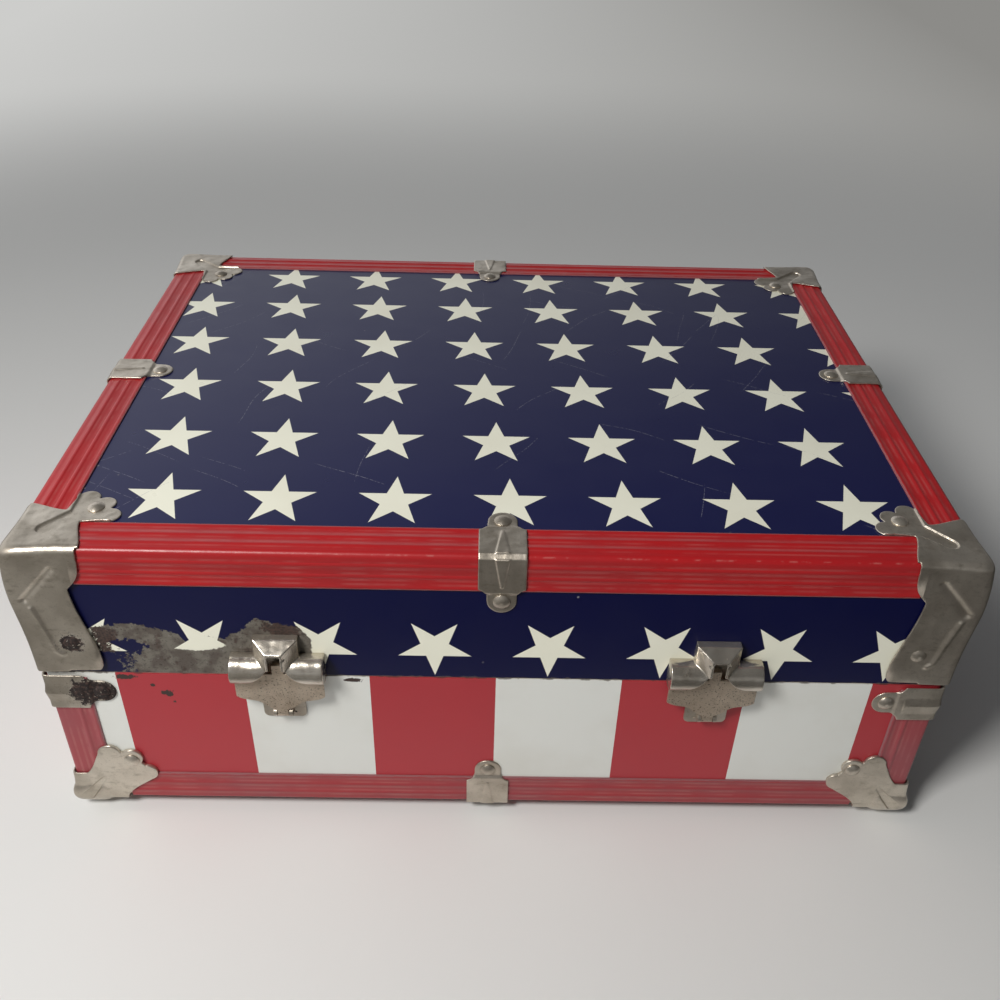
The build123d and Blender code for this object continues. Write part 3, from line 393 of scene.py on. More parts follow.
# Painted shade: the horizon the camera sees darkens from left to right, like the backdrop.
horizon = three_tones(sky, rightward, (-horizon_half, 0, horizon_half), backdrop_shade_tones)
sky.join(sky.mix(by_camera, room_tint, horizon), background.inputs["Color"])
sky.join(glow * (1 - by_camera) + by_camera, background.inputs["Strength"])
bpy.context.scene.view_settings.view_transform = "Standard"

# %% [markdown]
# The print comes first: cream stars on navy. A star needs only its distance and bearing
# from its centre. Folding the bearing into a tenth of a turn leaves one straight edge, so
# one sine decides whether a point is inside.

# %% Stars
CREAM = rgb(238, 237, 219)
star_points = 5
ink_edge = 0.12


def star(across, up, radius):
    """1 inside a five-pointed star with one point up, 0 outside."""
    distance = (across * across + up * up).math("SQRT")
    bearing = across.math("ARCTAN2", up)
    folded = abs(bearing.wrapped(-pi / star_points, pi / star_points))
    tip = pi / (2 * star_points)
    edge = radius * sin(tip) - distance * (folded + tip).math("SINE")
    return edge.soft(-ink_edge, ink_edge)


top_pitch = 51.0
top_first = 54.6
top_slant = 6.2
top_rows = (38.6, 88.0, 138.0, 187.0, 233.0, 274.0)
top_first_tall, top_tall_loss = 1.135, 0.023
star_radius = 17.0


def top_stars(finish):
    """Rows of stars; each starts a little further left, and stands a little less tall."""
    across = finish.along
    back = finish.y - outer_front
    row = 0.0
    centre = top_rows[0]
    for near, far in zip(top_rows, top_rows[1:]):
        past = back > (near + far) / 2
        row = past + row
        centre = past * (far - near) + centre
    u = (across - top_first + row * top_slant).wrapped(-top_pitch / 2, top_pitch / 2)
    v = (back - centre) / (top_first_tall - row * top_tall_loss)
    return star(u, v, star_radius)


front_pitch = 50.5
front_first = 24.0
front_height = 110.8


def wall_stars(finish, along):
    """One row of stars round the lid's walls, each standing on its point."""
    u = (along - front_first).wrapped(-front_pitch / 2, front_pitch / 2)
    return star(u, front_height - finish.z, star_radius)


# %% [markdown]
# Wear on printed tin is mostly small: hairline scratches, specks where the print has
# gone, and a dull rim along cut edges. A scratch is a hair's breadth along the middle of a
# long cell of scattered points, and only some of the cells hold one.

# %% Scratches and specks
scratch_long, scratch_apart = 46.0, 15.0
lane_wander, lane_sway = 60.0, 1.4
hair_half = 0.012
hair_end, hair_whole = 0.46, 0.3
speck_edge, speck_core, speck_rough = 0.2, 0.14, 0.16


def scratches(finish, turn_by, seed, amount):
    """Short hairlines running at one angle."""
    inputs = {"Vector": finish.place, "Rotation": (0, 0, turn_by)}
    inputs["Location"] = (seed, seed * 1.7, seed * 0.6)
    turned = finish.node("ShaderNodeMapping", {}, inputs).outputs[0]
    long, wide, _ = finish.split(turned)
    lane = wide / scratch_apart + finish.noise(lane_wander, 1.0, shift=(seed, 0, 0)) * lane_sway
    flat = finish.node("ShaderNodeCombineXYZ", {}, {0: long / scratch_long, 1: lane}).outputs[0]
    inputs = {"Vector": flat, "Scale": 1.0}
    cells = finish.node("ShaderNodeTexVoronoi", {"voronoi_dimensions": "2D"}, inputs)
    drawn_lot = finish.node("ShaderNodeSeparateColor", {}, {0: cells.outputs["Color"]})
    chance = Value(finish, drawn_lot.outputs[0])
    off_line = abs(lane - finish.split(cells.outputs["Position"])[1])
    hair = off_line.soft(hair_half, hair_half / 3)
    ends = Value(finish, cells.outputs["Distance"]).soft(hair_end, hair_whole)
    return hair * (chance > 1 - amount) * ends * finish.noise(1.2, 2.0).soft(0.42, 0.55)


def specks(finish, size, share, seed):
    """Small irregular spots, only on some of the scattered points."""
    near = finish.dots(size, shift=(seed, seed * 0.3, seed * 2.1))
    where = finish.noise(size * 5, 2.0, shift=(seed, 0, seed))
    uneven = finish.noise(size * 0.2, 2.0) * speck_rough
    spot = (near + uneven).soft(speck_edge, speck_core)
    return spot * where.soft(1 - share, 1.06 - share)


# %% [markdown]
# The top of the lid: glossy printed tin that has been slid along and stacked on.

# %% Finish of the lid's top
top_navy = rgb(14, 17, 64), rgb(18, 21, 70)
dirty_cream = rgb(218, 212, 190)
scratch_tint, speck_tint = rgb(150, 150, 160), rgb(140, 136, 132)
top_gloss = 0.24


def make_top_print():
    finish = Finish("starred tin, top")
    stars = top_stars(finish)
    dirt = finish.noise(35.0, 4.0).soft(0.35, 0.8)
    cream = finish.mix(dirt * 0.3, CREAM, dirty_cream)
    navy = finish.mix(finish.noise(90.0, 3.0), *top_navy)
    colour = finish.mix(stars, navy, cream)
    marks = scratches(finish, 0.5, 11.0, 0.12).higher_of(scratches(finish, -0.9, 47.0, 0.10))
    marks = marks.higher_of(scratches(finish, 1.75, 83.0, 0.06))
    colour = finish.mix(marks * 0.5, colour, scratch_tint)
    colour = finish.mix(specks(finish, 7.0, 0.34, 3.0) * 0.6, colour, speck_tint)
    waves = finish.noise(70.0, 2.0, shift=(5, 9, 2))
    rough = top_gloss + finish.noise(18.0, 4.0) * 0.12 + marks * 0.2
    return finish.set(colour=colour, rough=rough, normal=finish.relief(waves, 1.0, 0.3), ior=1.5)


# %% [markdown]
# The lid's walls carry one row of stars standing on their points. On the front left a
# large patch of print has flaked down to grey-brown primer and rust. Its upper edge is
# drawn as a line through a few points and then roughened; an island of blue and part of
# one star are left standing in it.

# %% Finish of the lid's walls
wall_margin = 1.5
front_within = 4.0
patch_crest = (
    (28, 113), (46, 116), (64, 110.5), (67, 105), (76, 109), (84, 108), (93, 114),
    (98, 120), (104, 118), (116, 115), (124, 106),
)
patch_start, patch_end = 27.0, 122.0
blue_island = (41.0, 102.0, 7.5, 4.4)
star_island = (front_first + front_pitch - 4.0, 105.0, 14.0, 4.6)
blue_corner = (41.0, 99.5)
brown_ovals = ((31.0, 106.0, 6.0, 8.0), (110.0, 114.0, 9.0, 5.0))
wall_navy = rgb(8, 12, 60)
primer_tints, primer_pale = (rgb(112, 107, 98), rgb(88, 80, 73)), rgb(150, 146, 144)
grit_tint, rust_tints = rgb(58, 50, 46), (rgb(72, 50, 44), rgb(44, 32, 30))
lost_tint, hem_tint = rgb(170, 168, 166), rgb(96, 88, 84)
wall_gloss = 0.26


def drawn_line(along, points):
    """Height of a line drawn through points, level beyond its ends."""
    height = points[0][1]
    for (start, low), (end, high) in zip(points, points[1:]):
        height = along.ramp(start, end, 0.0, high - low) + height
    return height


def island(finish, oval, ragged):
    """1 inside a rough-edged oval: its middle along and up, half its length and height."""
    place, height, long, tall = oval
    across = (finish.along - place) / long
    up = (finish.height - height) / tall
    return ((across * across + up * up).math("SQRT") + ragged).soft(1.03, 0.95)


def flaked_patch(finish, stars):
    """1 where the print of the left front has gone."""
    ragged = finish.noise(9.0, 5.0, rough=0.65) - 0.5
    fine = finish.noise(2.2, 5.0, shift=(4, 8, 1), rough=0.75) - 0.5
    crest = drawn_line(finish.along, patch_crest)
    gone = (crest - finish.height + ragged * 5.0 + fine * 7.0).soft(-0.15, 0.15)
    gone = gone * (finish.along + ragged * 5.0 + fine * 16.0).soft(patch_start, patch_start + 0.5)
    gone = gone * (finish.along + ragged * 6.0).soft(patch_end, patch_end - 0.5)
    kept = island(finish, blue_island, ragged * 0.9 + fine * 2.2)
    right, top = blue_corner
    corner = (finish.along + ragged * 12.0 + fine * 34.0).soft(right, right - 1.0)
    kept = kept.higher_of(corner * (finish.height + fine * 6.0).soft(top, top - 1.0))
    kept = kept.higher_of(island(finish, star_island, fine * 0.5) * stars)
    return gone * (1 - kept) * (finish.y < outer_front + front_within)


def make_wall_print():
    finish = Finish("starred tin, walls")
    on_end = abs(finish.x) > tin_high.x - wall_margin
    along = on_end * (finish.y - finish.x) + finish.along
    stars = wall_stars(finish, along)
    colour = finish.mix(stars, wall_navy, CREAM)
    gone = flaked_patch(finish, stars)
    mottled = finish.noise(7.0, 5.0, shift=(3, 3, 9)).soft(0.4, 0.62)
    primer = finish.mix(mottled, *primer_tints)
    pale = finish.noise(2.6, 5.0, shift=(6, 2, 2), rough=0.7).soft(0.62, 0.72)
    primer = finish.mix(pale * 0.5, primer, primer_pale)
    grit = finish.noise(1.1, 3.0, shift=(7, 3, 3), rough=0.7)
    primer = finish.mix(grit.soft(0.56, 0.64) * 0.6, primer, grit_tint)
    rust = finish.noise(5.0, 5.0, shift=(1, 8, 5), rough=0.65).soft(0.54, 0.66) * 0.65
    frayed = (finish.noise(4.0, 5.0, rough=0.75) - 0.5) * 3.0
    for oval in brown_ovals:
        rust = rust.higher_of(island(finish, oval, frayed) * 0.85)
    primer = finish.mix(rust, primer, finish.mix(grit.soft(0.4, 0.6), *rust_tints))
    lost = specks(finish, 6.0, 0.36, 21.0)
    edge = (finish.z - lid_hem + finish.noise(4.0, 3.0) * 3.2).soft(2.1, 1.5)
    colour = finish.mix(lost * 0.6, colour, lost_tint)
    colour = finish.mix(edge * 0.7, colour, hem_tint)
    colour = finish.mix(gone, colour, primer)
    rough = wall_gloss + finish.noise(15.0, 3.0) * 0.12 + gone * 0.4
    height = (1 - gone) * 0.7 + gone * finish.noise(2.0, 4.0) * 0.6
    normal = finish.relief(height, 0.25, 0.8)
    return finish.set(colour=colour, rough=rough, normal=normal, ior=1.45)


# %% [markdown]
# The base is wrapped in one striped sheet. The stripes keep their pitch round the
# corners, so a place round the walls is measured along the sheet. A few chips on the left
# go through to dark steel, each given by its middle and its half sizes. Along the top edge,
# under the lid's hem, a ragged band of the same dark colour is painted shade.

# %% Finish of the base's walls
stripe_pitch = 56.9
stripe_first = 32.2
chips = (
    (54.0, 73.5, 2.6, 1.8), (48.0, 78.5, 1.0, 0.9), (56.0, 68.0, 0.8, 0.7),
    (36.0, 83.6, 4.5, 1.4), (138.0, 83.6, 4.0, 1.2),
)
red_inks, white_inks = (rgb(179, 50, 58), rgb(170, 52, 60)), (rgb(226, 227, 222), rgb(210, 208, 198))
# The dark steel colour serves the real chips and also the painted shade under the lid's hem.
stripe_speck, steel_and_shade_tint = rgb(120, 104, 98), rgb(66, 52, 48)
stripe_gloss = 0.34


def make_stripes():
    finish = Finish("striped tin")
    on_end = abs(finish.x) > tin_high.x - wall_margin
    on_left = finish.x < 0
    along_end = (1 - on_left * 2) * (finish.y - outer_front) + (1 - on_left) * (-2 * outer_left)
    along = on_end * (along_end - finish.along) + finish.along
    shifted = along - stripe_first + finish.noise(3.0, 1.0) * 0.1
    red = shifted.repeat(2 * stripe_pitch) < stripe_pitch
    red_ink = finish.mix(finish.noise(60.0, 3.0), *red_inks)
    stained = finish.noise(40.0, 4.0, shift=(9, 9, 9)).soft(0.4, 0.75) * 0.45
    white_ink = finish.mix(stained, *white_inks)
    colour = finish.mix(red, white_ink, red_ink)
    # Painted shade: a ragged dark band along the top edge, where the lid's hem overhangs the base.
    below_edge = tin_high.z - finish.z + finish.noise(7.0, 4.0, shift=(2, 6, 4)) * 5.5
    shade_under_lid = below_edge.soft(2.7, 2.1)
    fine = (finish.noise(1.8, 5.0, rough=0.7) - 0.5) * 3.0
    chips_and_shade = shade_under_lid * 0.7
    for chip in chips:
        chips_and_shade = chips_and_shade.higher_of(island(finish, chip, fine) * (finish.y < 0))
    colour = finish.mix(specks(finish, 8.0, 0.32, 7.0) * 0.6, colour, stripe_speck)
    colour = finish.mix(chips_and_shade, colour, steel_and_shade_tint)
    rough = stripe_gloss + finish.noise(20.0, 3.0) * 0.12 + chips_and_shade * 0.3
    normal = finish.relief(finish.noise(80.0, 2.0), 1.0, 0.25)
    return finish.set(colour=colour, rough=rough, normal=normal, ior=1.45)


# %% [markdown]
# The bindings are steel strip enamelled red. The enamel is glossy, a little orange-peeled;
# pale dust sits beside the flutes, a dashed painted highlight runs along the ridge, and grime
# lies along the strip's free edge. All three follow the distance from the strip's ridge,
# which the trunk's own sides give.

# %% Finish of the bindings
flute_first, flute_pitch = 6.4, 5.8
flute_foot, flute_between = (0.9, 1.4), (2.6, 1.9)
ridge_round = 3.0
strip_leg = 19.2
# The paler second tint here is the painted highlight along the ridge.
dust_tint, ridge_highlight_tint = rgb(196, 134, 128), rgb(206, 158, 150)
grime_tint, enamel_speck = rgb(138, 112, 114), rgb(92, 60, 56)
enamel_gloss = 0.28


def from_ridge(finish, kind):
    """Millimetres from the ridge of a top, bottom or upright binding."""
    side = -outer_left - abs(finish.x)
    front = -outer_front - abs(finish.y)
    if kind == "upright":
        return side.higher_of(front)
    if kind == "top":
        return side.lower_of(front).higher_of(binding_top - finish.z)
    return side.lower_of(front).higher_of(finish.height)


def make_enamel(kind, tint, worn_tint, dust):
    finish = Finish("red enamel, " + kind)
    reach = from_ridge(finish, kind)
    fold = abs((reach - flute_first).wrapped(-flute_pitch / 2, flute_pitch / 2))
    beside = fold.soft(*flute_foot) * fold.soft(*flute_between) * (reach > ridge_round)
    patchy = finish.noise(14.0, 4.0, shift=(8, 1, 4)).soft(0.35, 0.65)
    colour = finish.mix(finish.noise(45.0, 3.0).soft(0.3, 0.75), tint, worn_tint)
    colour = finish.mix(beside * patchy * dust, colour, dust_tint)
    # Painted highlight: a pale dashed line within 1.6 mm of the ridge.
    ridge_highlight = reach.soft(1.6, 0.4) * finish.noise(5.0, 4.0, shift=(2, 2, 7)).soft(0.5, 0.62)
    colour = finish.mix(ridge_highlight * 0.55, colour, ridge_highlight_tint)
    grime = (reach + finish.noise(4.0, 3.0) * 1.2).soft(strip_leg - 0.4, strip_leg + 0.3)
    colour = finish.mix(grime * 0.55, colour, grime_tint)
    colour = finish.mix(specks(finish, 7.0, 0.34, 15.0) * 0.7, colour, enamel_speck)
    rough = enamel_gloss + finish.noise(10.0, 4.0) * 0.14 + grime * 0.2
    normal = finish.relief(finish.noise(3.5, 2.0), 0.05, 0.5)
    return finish.set(colour=colour, rough=rough, normal=normal, ior=1.45)


# %% [markdown]
# The fittings are nickel plate over steel, decades old: warm grey, a little stained,
# finely pitted, and rusted through at a few known spots on the left front corner.

# %% Finish of the fittings
left_rust = (
    ((outer_left + 17.5, outer_front, binding_floor + 105.0), 5.6),
    ((outer_left + 18.5, outer_front, binding_floor + 74.8), 8.8),
    ((outer_left + 26.0, outer_front, binding_floor + 74.6), 6.5),
)
plating = 0.84
# The brown tint stands partly for tarnish and partly for painted shade under the catch's arch.
pit_tint, tarnish_and_shade_tint = rgb(92, 80, 68), rgb(112, 78, 60)
crust_dark, crust_pale = rgb(38, 28, 26), rgb(70, 52, 46)
dent_depth = 16.0


def make_nickel(name, tint, stain_tint, pitting, shine, rust_spots=(), tarnish_and_shade_below=None):
    """Dulled plate: pitting is the share that is pitted, shine the least roughness."""
    finish = Finish(name)
    cloud = finish.noise(24.0, 4.0, rough=0.55)
    stain = finish.noise(8.0, 5.0, shift=(17, 3, 8), rough=0.6).soft(0.52, 0.74)
    streak = finish.noise(2.6, 4.0, shift=(3, 9, 5), stretch=(0.35, 0.5, 0.8), rough=0.6)
    colour = finish.mix(cloud.soft(0.32, 0.68) * 0.55, tint, stain_tint)
    marked = (stain * 0.5).higher_of(streak.soft(0.55, 0.75) * 0.5)
    colour = finish.mix(marked, colour, stain_tint)
    pits = finish.noise(0.8, 3.0, rough=0.7)
    colour = finish.mix(pits.soft(0.57, 0.66) * pitting, colour, pit_tint)
    rough = shine + cloud * 0.08 + stain * 0.08 + streak * 0.12
    dented = finish.noise(11.0, 2.0, shift=(4, 6, 3), stretch=(1.0, 1.0, 0.5))
    height = pits * (0.2 + 2.2 * pitting) + streak * 0.7 + dented * dent_depth
    # Brown towards the lower edge, under the catch's barrels: partly tarnish, partly painted shade.
    if tarnish_and_shade_below:
        uneven = finish.z + finish.noise(5.0, 3.0) * 3.0
        low = uneven.soft(tarnish_and_shade_below + 2.0, tarnish_and_shade_below - 1.0)
        colour = finish.mix(low * 0.75, colour, tarnish_and_shade_tint)
        rough = rough + low * 0.15
    if rust_spots:
        rusty = 0.0
        for spot, radius in rust_spots:
            rusty = finish.near(spot, radius).higher_of(rusty)
        rusty = rusty * finish.noise(1.3, 3.0, shift=(1, 5, 2)).soft(0.30, 0.36)
        crust = finish.mix(finish.noise(1.6, 3.0).soft(0.45, 0.65), crust_dark, crust_pale)
        colour = finish.mix(rusty, colour, crust)
        rough = rough + rusty * 0.4
        height = height + rusty * finish.noise(1.4, 3.0) * 5.0
        finish.set(metal=plating * (1 - rusty))
    else:
        finish.set(metal=plating)
    normal = finish.relief(height, 0.1, 0.6)
    return finish.set(colour=colour, rough=rough, normal=normal)


# %% [markdown]
# Inside, the boards are plain thin ply, and the mouth has a strip of dull tinned steel.

# %% Finish of the boards
wood_tints, wood_line = (rgb(188, 153, 112), rgb(174, 138, 98)), rgb(122, 90, 60)


def make_board():
    finish = Finish("board")
    grain = finish.noise(6.0, 5.0, stretch=(0.08, 1.0, 1.0), rough=0.6)
    across_grain = finish.y * 0.5 + finish.noise(160.0, 2.0) * 14.0 + grain * 3.0
    rings = across_grain.math("SINE") * 0.5 + 0.5
    colour = finish.mix(rings, *wood_tints)
    colour = finish.mix(grain.soft(0.5, 0.8) * 0.5, colour, wood_line)
    rough = 0.62 + grain * 0.15
    return finish.set(colour=colour, rough=rough, normal=finish.relief(grain, 0.15, 0.5))


# %% [markdown]
# Every finish is made once, under the name by which the pieces ask for it. Plated metal
# comes in five grades, from the bright catches to the pitted hasps and the dull rim.

# %% All finishes
plain_nickel = (rgb(212, 203, 189), rgb(142, 131, 116))
scoured_nickel = (rgb(228, 213, 194), rgb(170, 152, 132))
bright_nickel = (rgb(222, 215, 203), rgb(150, 138, 122))
# Below this height the bright catches turn brown: tarnish and painted shade under their arch.
tarnish_and_shade_edge = lid_hem + 3.0
red_top = (rgb(172, 26, 30), rgb(160, 32, 36))
red_bottom = (rgb(160, 50, 55), rgb(150, 60, 66))
red_upright = (rgb(158, 62, 68), rgb(150, 76, 82))
finishes = {
    "top": make_top_print(),
    "walls": make_wall_print(),
    "stripes": make_stripes(),
    "enamel top": make_enamel("top", *red_top, 0.16),
    "enamel bottom": make_enamel("bottom", *red_bottom, 0.25),
    "enamel upright": make_enamel("upright", *red_upright, 0.25),
    "nickel": make_nickel("nickel", *plain_nickel, 0.2, 0.26, left_rust),
    "rivet nickel": make_nickel("nickel, rivets", *plain_nickel, 0.3, 0.24, left_rust),
    "pitted": make_nickel("nickel, pitted", *scoured_nickel, 0.9, 0.34),
    "bright": make_nickel("nickel, bright", *bright_nickel, 0.12, 0.12, tarnish_and_shade_below=tarnish_and_shade_edge),
    "board": make_board(),
    "rim": make_nickel("tinned steel", *plain_nickel, 0.2, 0.34),
}
print("finishes:", ", ".join(finishes))

# %% [markdown]
# The frame's meshes are loose triangles with hard shading. A copy that is merged, has its
# flat areas joined again and gets a hair's breadth of bevel catches the light along its
# edges, as a folded steel edge does. The copy then stands for the node.

# %% Copies of the frame's pieces
merge_within = 0.002 * MM
flat_within = radians(0.4)
edge_break, edge_segments = 0.12, 2
sharp_angle = radians(32.0)


def edit_all(piece):
    """Open one piece in edit mode with all its points selected."""
    only(piece)
    bpy.ops.object.mode_set(mode="EDIT")
    bpy.ops.mesh.select_all(action="SELECT")


def triangles_of(piece):
    return sum(len(face.vertices) - 2 for face in piece.data.polygons)


def copy_of(node):
    """A merged copy of a CAD node, riding nowhere yet."""
    piece = nodes[node].copy()
    piece.data = nodes[node].data.copy()
    piece.name = node + "_dressed"
    piece.parent = None
    for key in list(piece.keys()):
        del piece[key]
    bpy.context.scene.collection.objects.link(piece)
    edit_all(piece)
    bpy.ops.mesh.remove_doubles(threshold=merge_within)
    bpy.ops.mesh.dissolve_limited(angle_limit=flat_within)
    bpy.ops.object.mode_set(mode="OBJECT")
    return piece


def finished_with(piece, finish):
    piece.data.materials.clear()
    piece.data.materials.append(finishes[finish])


def stands_for(piece, node, finish, slot):
    """Give a copy its finish, let it ride on the node's body and take the node's place."""
    finished_with(piece, finish)
    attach(piece, nodes[node]["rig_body"])
    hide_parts(node)


def apply_all(piece):
    """Apply a piece's modifiers in their order."""
    only(piece)
    for modifier in list(piece.modifiers):
        bpy.ops.object.modifier_apply(modifier=modifier.name)


def broken_edges(piece, bevel):
    """Smooth shading, and every sharp edge broken where there is a bevel."""
    if bevel:
        edges = piece.modifiers.new("edges", "BEVEL")
        edges.width = bevel * MM
        edges.segments = edge_segments
        edges.limit_method = "ANGLE"
        edges.angle_limit = sharp_angle
        edges.use_clamp_overlap = False
        edges.harden_normals = True
    only(piece)
    bpy.ops.object.shade_smooth_by_angle(angle=sharp_angle)
    apply_all(piece)


# %% [markdown]
# The CAD bends the tin round its upright corners with a generous radius. On the trunk they
# are beaten nearly sharp, and every layer over them follows. Points inside the round
# quarter are pushed outwards along their own ray until the circle is almost a square, so
# that layers which lay on one another still do. Towards the top the corner stays rounder.

# %% Sharper upright corners
bend_radius = 8.25
bend_x, bend_y = tin_high.x - bend_radius, tin_high.y - bend_radius
squareness, top_squareness = 9.0, 3.5
easing_from = binding_top - 26.0
level_within = 0.5 * MM


def in_bend(co):
    """Whether a point lies within one of the four round quarters, in plan."""
    return abs(co.x) / MM > bend_x and abs(co.y) / MM > bend_y


def square_up(piece, finer=0):
    """Beat a piece's round upright corners sharp; finer cuts its faces there first."""
    if finer:
        only(piece)
        bpy.ops.object.mode_set(mode="EDIT")
        bpy.ops.mesh.select_all(action="DESELECT")
        bpy.ops.object.mode_set(mode="OBJECT")
        for edge in piece.data.edges:
            start, end = (piece.data.vertices[v].co for v in edge.vertices)
            edge.select = abs(start.z - end.z) < level_within and in_bend((start + end) / 2)
        bpy.ops.object.mode_set(mode="EDIT")
        bpy.ops.mesh.select_mode(type="EDGE")
        bpy.ops.mesh.subdivide(number_cuts=finer)
        bpy.ops.object.mode_set(mode="OBJECT")
    for vertex in piece.data.vertices:
        if not in_bend(vertex.co):
            continue
        x, y = vertex.co.x / MM, vertex.co.y / MM
        over_x, over_y = abs(x) - bend_x, abs(y) - bend_y
        rise = (vertex.co.z / MM - easing_from) / (binding_top - easing_from)
        rise = min(max(rise, 0.0), 1.0)
        power = squareness + (top_squareness - squareness) * rise
        square = (over_x**power + over_y**power) ** (1 / power)
        grow = hypot(over_x, over_y) / square
        vertex.co.x = copysign(bend_x + over_x * grow, x) * MM
        vertex.co.y = copysign(bend_y + over_y * grow, y) * MM


# %% [markdown]
# The flutes of the bindings lie a little further from the ridge than the CAD has them, so
# the strip's surface is drawn along: nothing moves at the ridge, and each flute by the same
# small step.

# %% Flutes in their places
cad_flute_first = 5.0
flute_step = flute_first - cad_flute_first
stretch_from, stretch_to = 2.2, 3.87
settle_from = 17.6
strip_reach = strip_leg + 0.1


def drawn(reach):
    """Where a point this far from the ridge goes."""
    if reach < stretch_from:
        return reach
    if reach < stretch_to:
        return reach + flute_step * (reach - stretch_from) / (stretch_to - stretch_from)
    if reach < settle_from:
        return reach + flute_step
    left = max(strip_leg - reach, 0.0) / (strip_leg - settle_from)
    return strip_leg - left * (strip_leg - settle_from - flute_step)


def set_flutes(piece, kind):
    """Draw the legs of a top, bottom or upright binding."""
    upright = kind == "upright"
    on_side = upright or "left" in piece.name or "right" in piece.name
    on_front = upright or "front" in piece.name or "back" in piece.name
    for vertex in piece.data.vertices:
        x, y, z = vertex.co / MM
        side, front = -outer_left - abs(x), -outer_front - abs(y)
        if on_side and side < strip_reach:
            vertex.co.x = copysign(-outer_left - drawn(side), x) * MM
        if on_front and front < strip_reach:
            vertex.co.y = copysign(-outer_front - drawn(front), y) * MM
        if kind == "top":
            vertex.co.z = (binding_top - drawn(binding_top - z)) * MM
        if kind == "bottom":
            vertex.co.z = (binding_floor + drawn(z - binding_floor)) * MM


# %% [markdown]
# Caps, clamps and catches are pressed from soft sheet, so no corner on them is sharp: every
# edge has been drawn round a die. A voxel remesh turns the CAD's crisp solid into an even
# skin, smoothing lets the edges flow, and decimating takes the flat areas down again. One
# cap of each kind is pressed, and the other three are its mirror images.

# %% Pressing
flow_factor = 0.5


def pressed(piece, voxel, passes):
    """Round a merged piece all over, as a press does."""
    grid = piece.modifiers.new("grid", "REMESH")
    grid.mode = "VOXEL"
    grid.voxel_size = voxel * MM
    flow = piece.modifiers.new("flow", "SMOOTH")
    flow.factor = flow_factor
    flow.iterations = passes
    apply_all(piece)


def lightened(piece, keep):
    """Fewer faces, smoothly shaded."""
    thin = piece.modifiers.new("thin", "DECIMATE")
    thin.ratio = keep
    apply_all(piece)
    only(piece)
    bpy.ops.object.shade_smooth()


def mirrored(piece, name, flip_x, flip_y):
    """A mirror image with its own mesh, its faces turned right side out."""
    image = piece.copy()
    image.data = piece.data.copy()
    image.name = name
    bpy.context.scene.collection.objects.link(image)
    image.data.transform(Matrix.Diagonal((-1 if flip_x else 1, -1 if flip_y else 1, 1, 1)))
    edit_all(image)
    bpy.ops.mesh.normals_make_consistent(inside=False)
    bpy.ops.object.mode_set(mode="OBJECT")
    return image


# %% [markdown]
# The legs of the lid's caps are drawn deeper than a flat sheet: a slanting groove over the
# binding, and from its lower end a rib that runs down and hooks in beside the rivet. They
# are hammered in here, on both legs alike, by moving the points near a drawn path. The
# cap's corner also swells outwards, most of all a little under the top.

# %% Grooves, ribs and swelling
cap_sheet = 0.8
groove = ((18.7, 152.6), (6.5, 137.2))
rib = ((8.0, 132.6), (9.6, 122.0), (11.2, 111.5), (12.0, 107.5), (14.0, 105.6))
groove_depth, groove_half = 1.2, 1.6
rib_rise, rib_half = 0.9, 1.25
leg_start, leg_skin = 3.0, 2.4
leg_top = binding_top - 4.5
leg_blend, top_blend, foot_blend = 1.5, 2.0, 1.2
facing_least = 0.12
far_away = 1000.0


def low_corner(piece):
    """The lowest x and y of a piece."""
    return [min(vertex.co[axis] for vertex in piece.data.vertices) for axis in range(2)]


def off_path(along, height, path):
    """Distance to the nearest point of a path of straight runs."""
    point = Vector((along, height))
    nearest = far_away
    for start, end in zip(path, path[1:]):
        start, run = Vector(start), Vector(end) - Vector(start)
        share = min(max((point - start).dot(run) / run.length_squared, 0.0), 1.0)
        nearest = min(nearest, (point - start - run * share).length)
    return nearest


def leg_relief(along, height):
    """Millimetres outwards at a place on a leg."""
    out = rib_rise * exp(-((off_path(along, height, rib) / rib_half) ** 2))
    return out - groove_depth * exp(-((off_path(along, height, groove) / groove_half) ** 2))


def hammer_leg(piece, axis, face, corner):
    """Iron the leg that lies at face on this axis flat, then hammer its groove and rib."""
    other = 1 - axis
    foot = min(vertex.co.z for vertex in piece.data.vertices) / MM
    facings = [vertex.normal[axis] for vertex in piece.data.vertices]
    for vertex, facing in zip(piece.data.vertices, facings):
        deep = (vertex.co[axis] - face) / MM
        along = (vertex.co[other] - corner) / MM
        height = vertex.co.z / MM
        if deep > leg_skin or along < leg_start or height > leg_top or abs(facing) < facing_least:
            continue
        from_top, from_foot = (leg_top - height) / top_blend, (height - foot) / foot_blend
        blend = min((along - leg_start) / leg_blend, from_top, from_foot, 1.0)
        level = (0.0 if facing < 0 else cap_sheet) - leg_relief(along, height)
        vertex.co[axis] += (level - deep) * blend * MM


def swell(piece, amount, waist, spread, least, reach):
    """Push the corner outwards: by amount at the waist's height, by a share of it elsewhere."""
    low = low_corner(piece)
    for vertex in piece.data.vertices:
        across = [(vertex.co[axis] - low[axis]) / MM for axis in range(2)]
        near = 1.0
        for distance in across:
            share = min(distance / reach, 1.0)
            near *= (1.0 - share) ** 2 * (1.0 + 2.0 * share)
        height = vertex.co.z / MM
        level = least + (1.0 - least) * exp(-(((height - waist) / spread) ** 2))
        for axis in range(2):
            vertex.co[axis] -= amount * near * level * MM


# %% [markdown]
# Now the press runs. Each fitting has its own voxel size and number of smoothing passes:
# the finer its detail, the smaller the voxel.

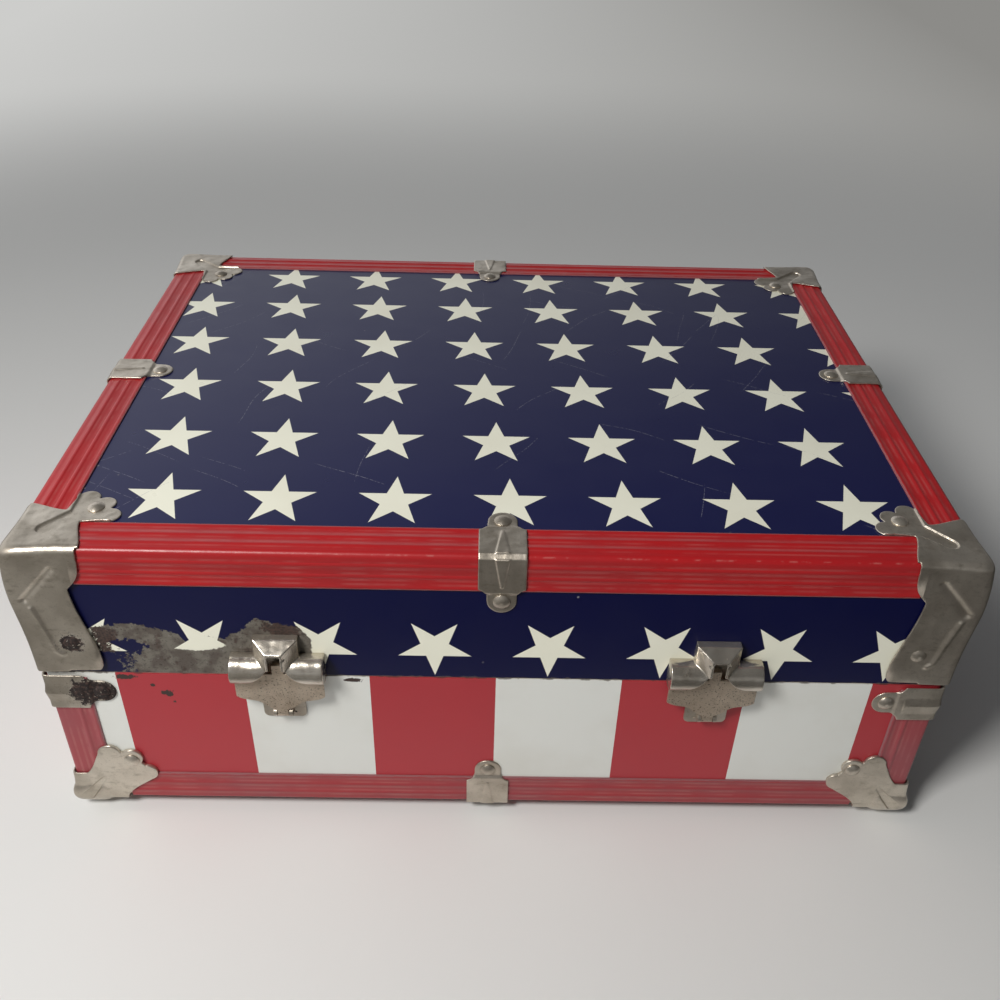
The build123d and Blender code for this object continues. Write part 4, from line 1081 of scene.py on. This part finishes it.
# %% Pressed fittings
cap_voxel, cap_passes, cap_keep = 0.28, 9, 0.35
lid_swelling = dict(amount=2.5, waist=binding_top - 18.0, spread=24.0, least=0.25, reach=27.0)
base_swelling = dict(amount=1.0, waist=binding_floor + 5.0, spread=9.0, least=0.0, reach=16.0)
fitting_keep = 0.4
fittings = (
    ("base_corner_clamps", 0.28, 8, "nickel"),
    ("lid_edge_clamps", 0.3, 7, "nickel"),
    ("base_edge_clamps", 0.3, 7, "nickel"),
    ("latch_catch_left", 0.25, 8, "bright"),
    ("latch_catch_right", 0.25, 8, "bright"),
)
triangles = 0
for cap, swelling in (("lid_cap", lid_swelling), ("base_cap", base_swelling)):
    first = copy_of(cap + "_front_left")
    pressed(first, cap_voxel, cap_passes)
    square_up(first)
    if cap == "lid_cap":
        corner_x, corner_y = low_corner(first)
        hammer_leg(first, 1, corner_y, corner_x)
        hammer_leg(first, 0, corner_x, corner_y)
    swell(first, **swelling)
    lightened(first, cap_keep)
    for row, flip_y in (("front", False), ("back", True)):
        for side, flip_x in (("left", False), ("right", True)):
            node = f"{cap}_{row}_{side}"
            piece = first
            if flip_x or flip_y:
                piece = mirrored(first, node + "_dressed", flip_x, flip_y)
            stands_for(piece, node, "nickel", "fitting")
            triangles += triangles_of(piece)
for node, voxel, passes, finish in fittings:
    piece = copy_of(node)
    pressed(piece, voxel, passes)
    square_up(piece)
    lightened(piece, fitting_keep)
    stands_for(piece, node, finish, "fitting")
    triangles += triangles_of(piece)
    print(node, triangles_of(piece), "triangles")
print("pressed fittings:", triangles, "triangles")

# %% [markdown]
# Ironing the legs has lifted them a little round their rivets, so those rivets are seated
# that much further out.

# %% Leg rivets
leg_lift = 0.55
leg_wide, top_tall = 26.0, 30.0


def lift_leg_rivets(piece):
    """Move the rivets that lie low and near a corner outwards, along the way they face."""
    moved = 0
    for vertex in piece.data.vertices:
        x, y, z = vertex.co / MM
        side, front = -outer_left - abs(x), -outer_front - abs(y)
        if z > binding_top - top_tall or max(side, front) > leg_wide:
            continue
        axis = 1 if front < side else 0
        vertex.co[axis] += copysign(leg_lift, (x, y)[axis]) * MM
        moved += 1
    print("leg rivets:", moved, "points lifted")


# %% [markdown]
# Everything else is folded, turned or cut, and keeps its edges. The boards and the flat
# sheets keep the CAD's own mesh; the sheets round the walls are copied for their corners.

# %% Dressing the rest
dressing = {
    "binding": ("enamel bottom", "binding"),
    "upright": ("enamel upright", "binding"),
    "plate": ("nickel", "fitting"),
    "hasp": ("pitted", "fitting"),
    "hinge": ("nickel", "fitting"),
    "handle": ("nickel", "fitting"),
    "rivets": ("rivet nickel", "rivet"),
    "rim": ("rim", "rim"),
}
flat_sheets = {"lid_skin_top": "top", "base_skin_bottom": "stripes"}
wall_sheets = {"lid_skin": ("walls", "lid_tin"), "base_skin": ("stripes", "base_tin")}
pressed_already = ("cap_", "clamps", "catch")
bend_cuts = 2
triangles = 0
for name in sorted(nodes):
    if any(word in name for word in pressed_already):
        continue
    if "board" in name or name in flat_sheets:
        finished_with(nodes[name], flat_sheets.get(name, "board"))
        continue
    if name in wall_sheets:
        piece = copy_of(name)
        square_up(piece, finer=bend_cuts)
        broken_edges(piece, 0.0)
        stands_for(piece, name, *wall_sheets[name])
        continue
    word = next(w for w in dressing if w in name)
    finish, slot = dressing[word]
    piece = copy_of(name)
    if word == "binding":
        kind = "top" if name.startswith("lid") else "bottom"
        finish = "enamel " + kind
        set_flutes(piece, kind)
    if word == "upright":
        square_up(piece, finer=bend_cuts)
        set_flutes(piece, "upright")
    if name == "lid_rivets":
        lift_leg_rivets(piece)
    broken_edges(piece, 0.0 if word in ("rim", "upright") else edge_break)
    stands_for(piece, name, finish, slot)
    triangles += triangles_of(piece)
print("dressed pieces:", triangles, "triangles")
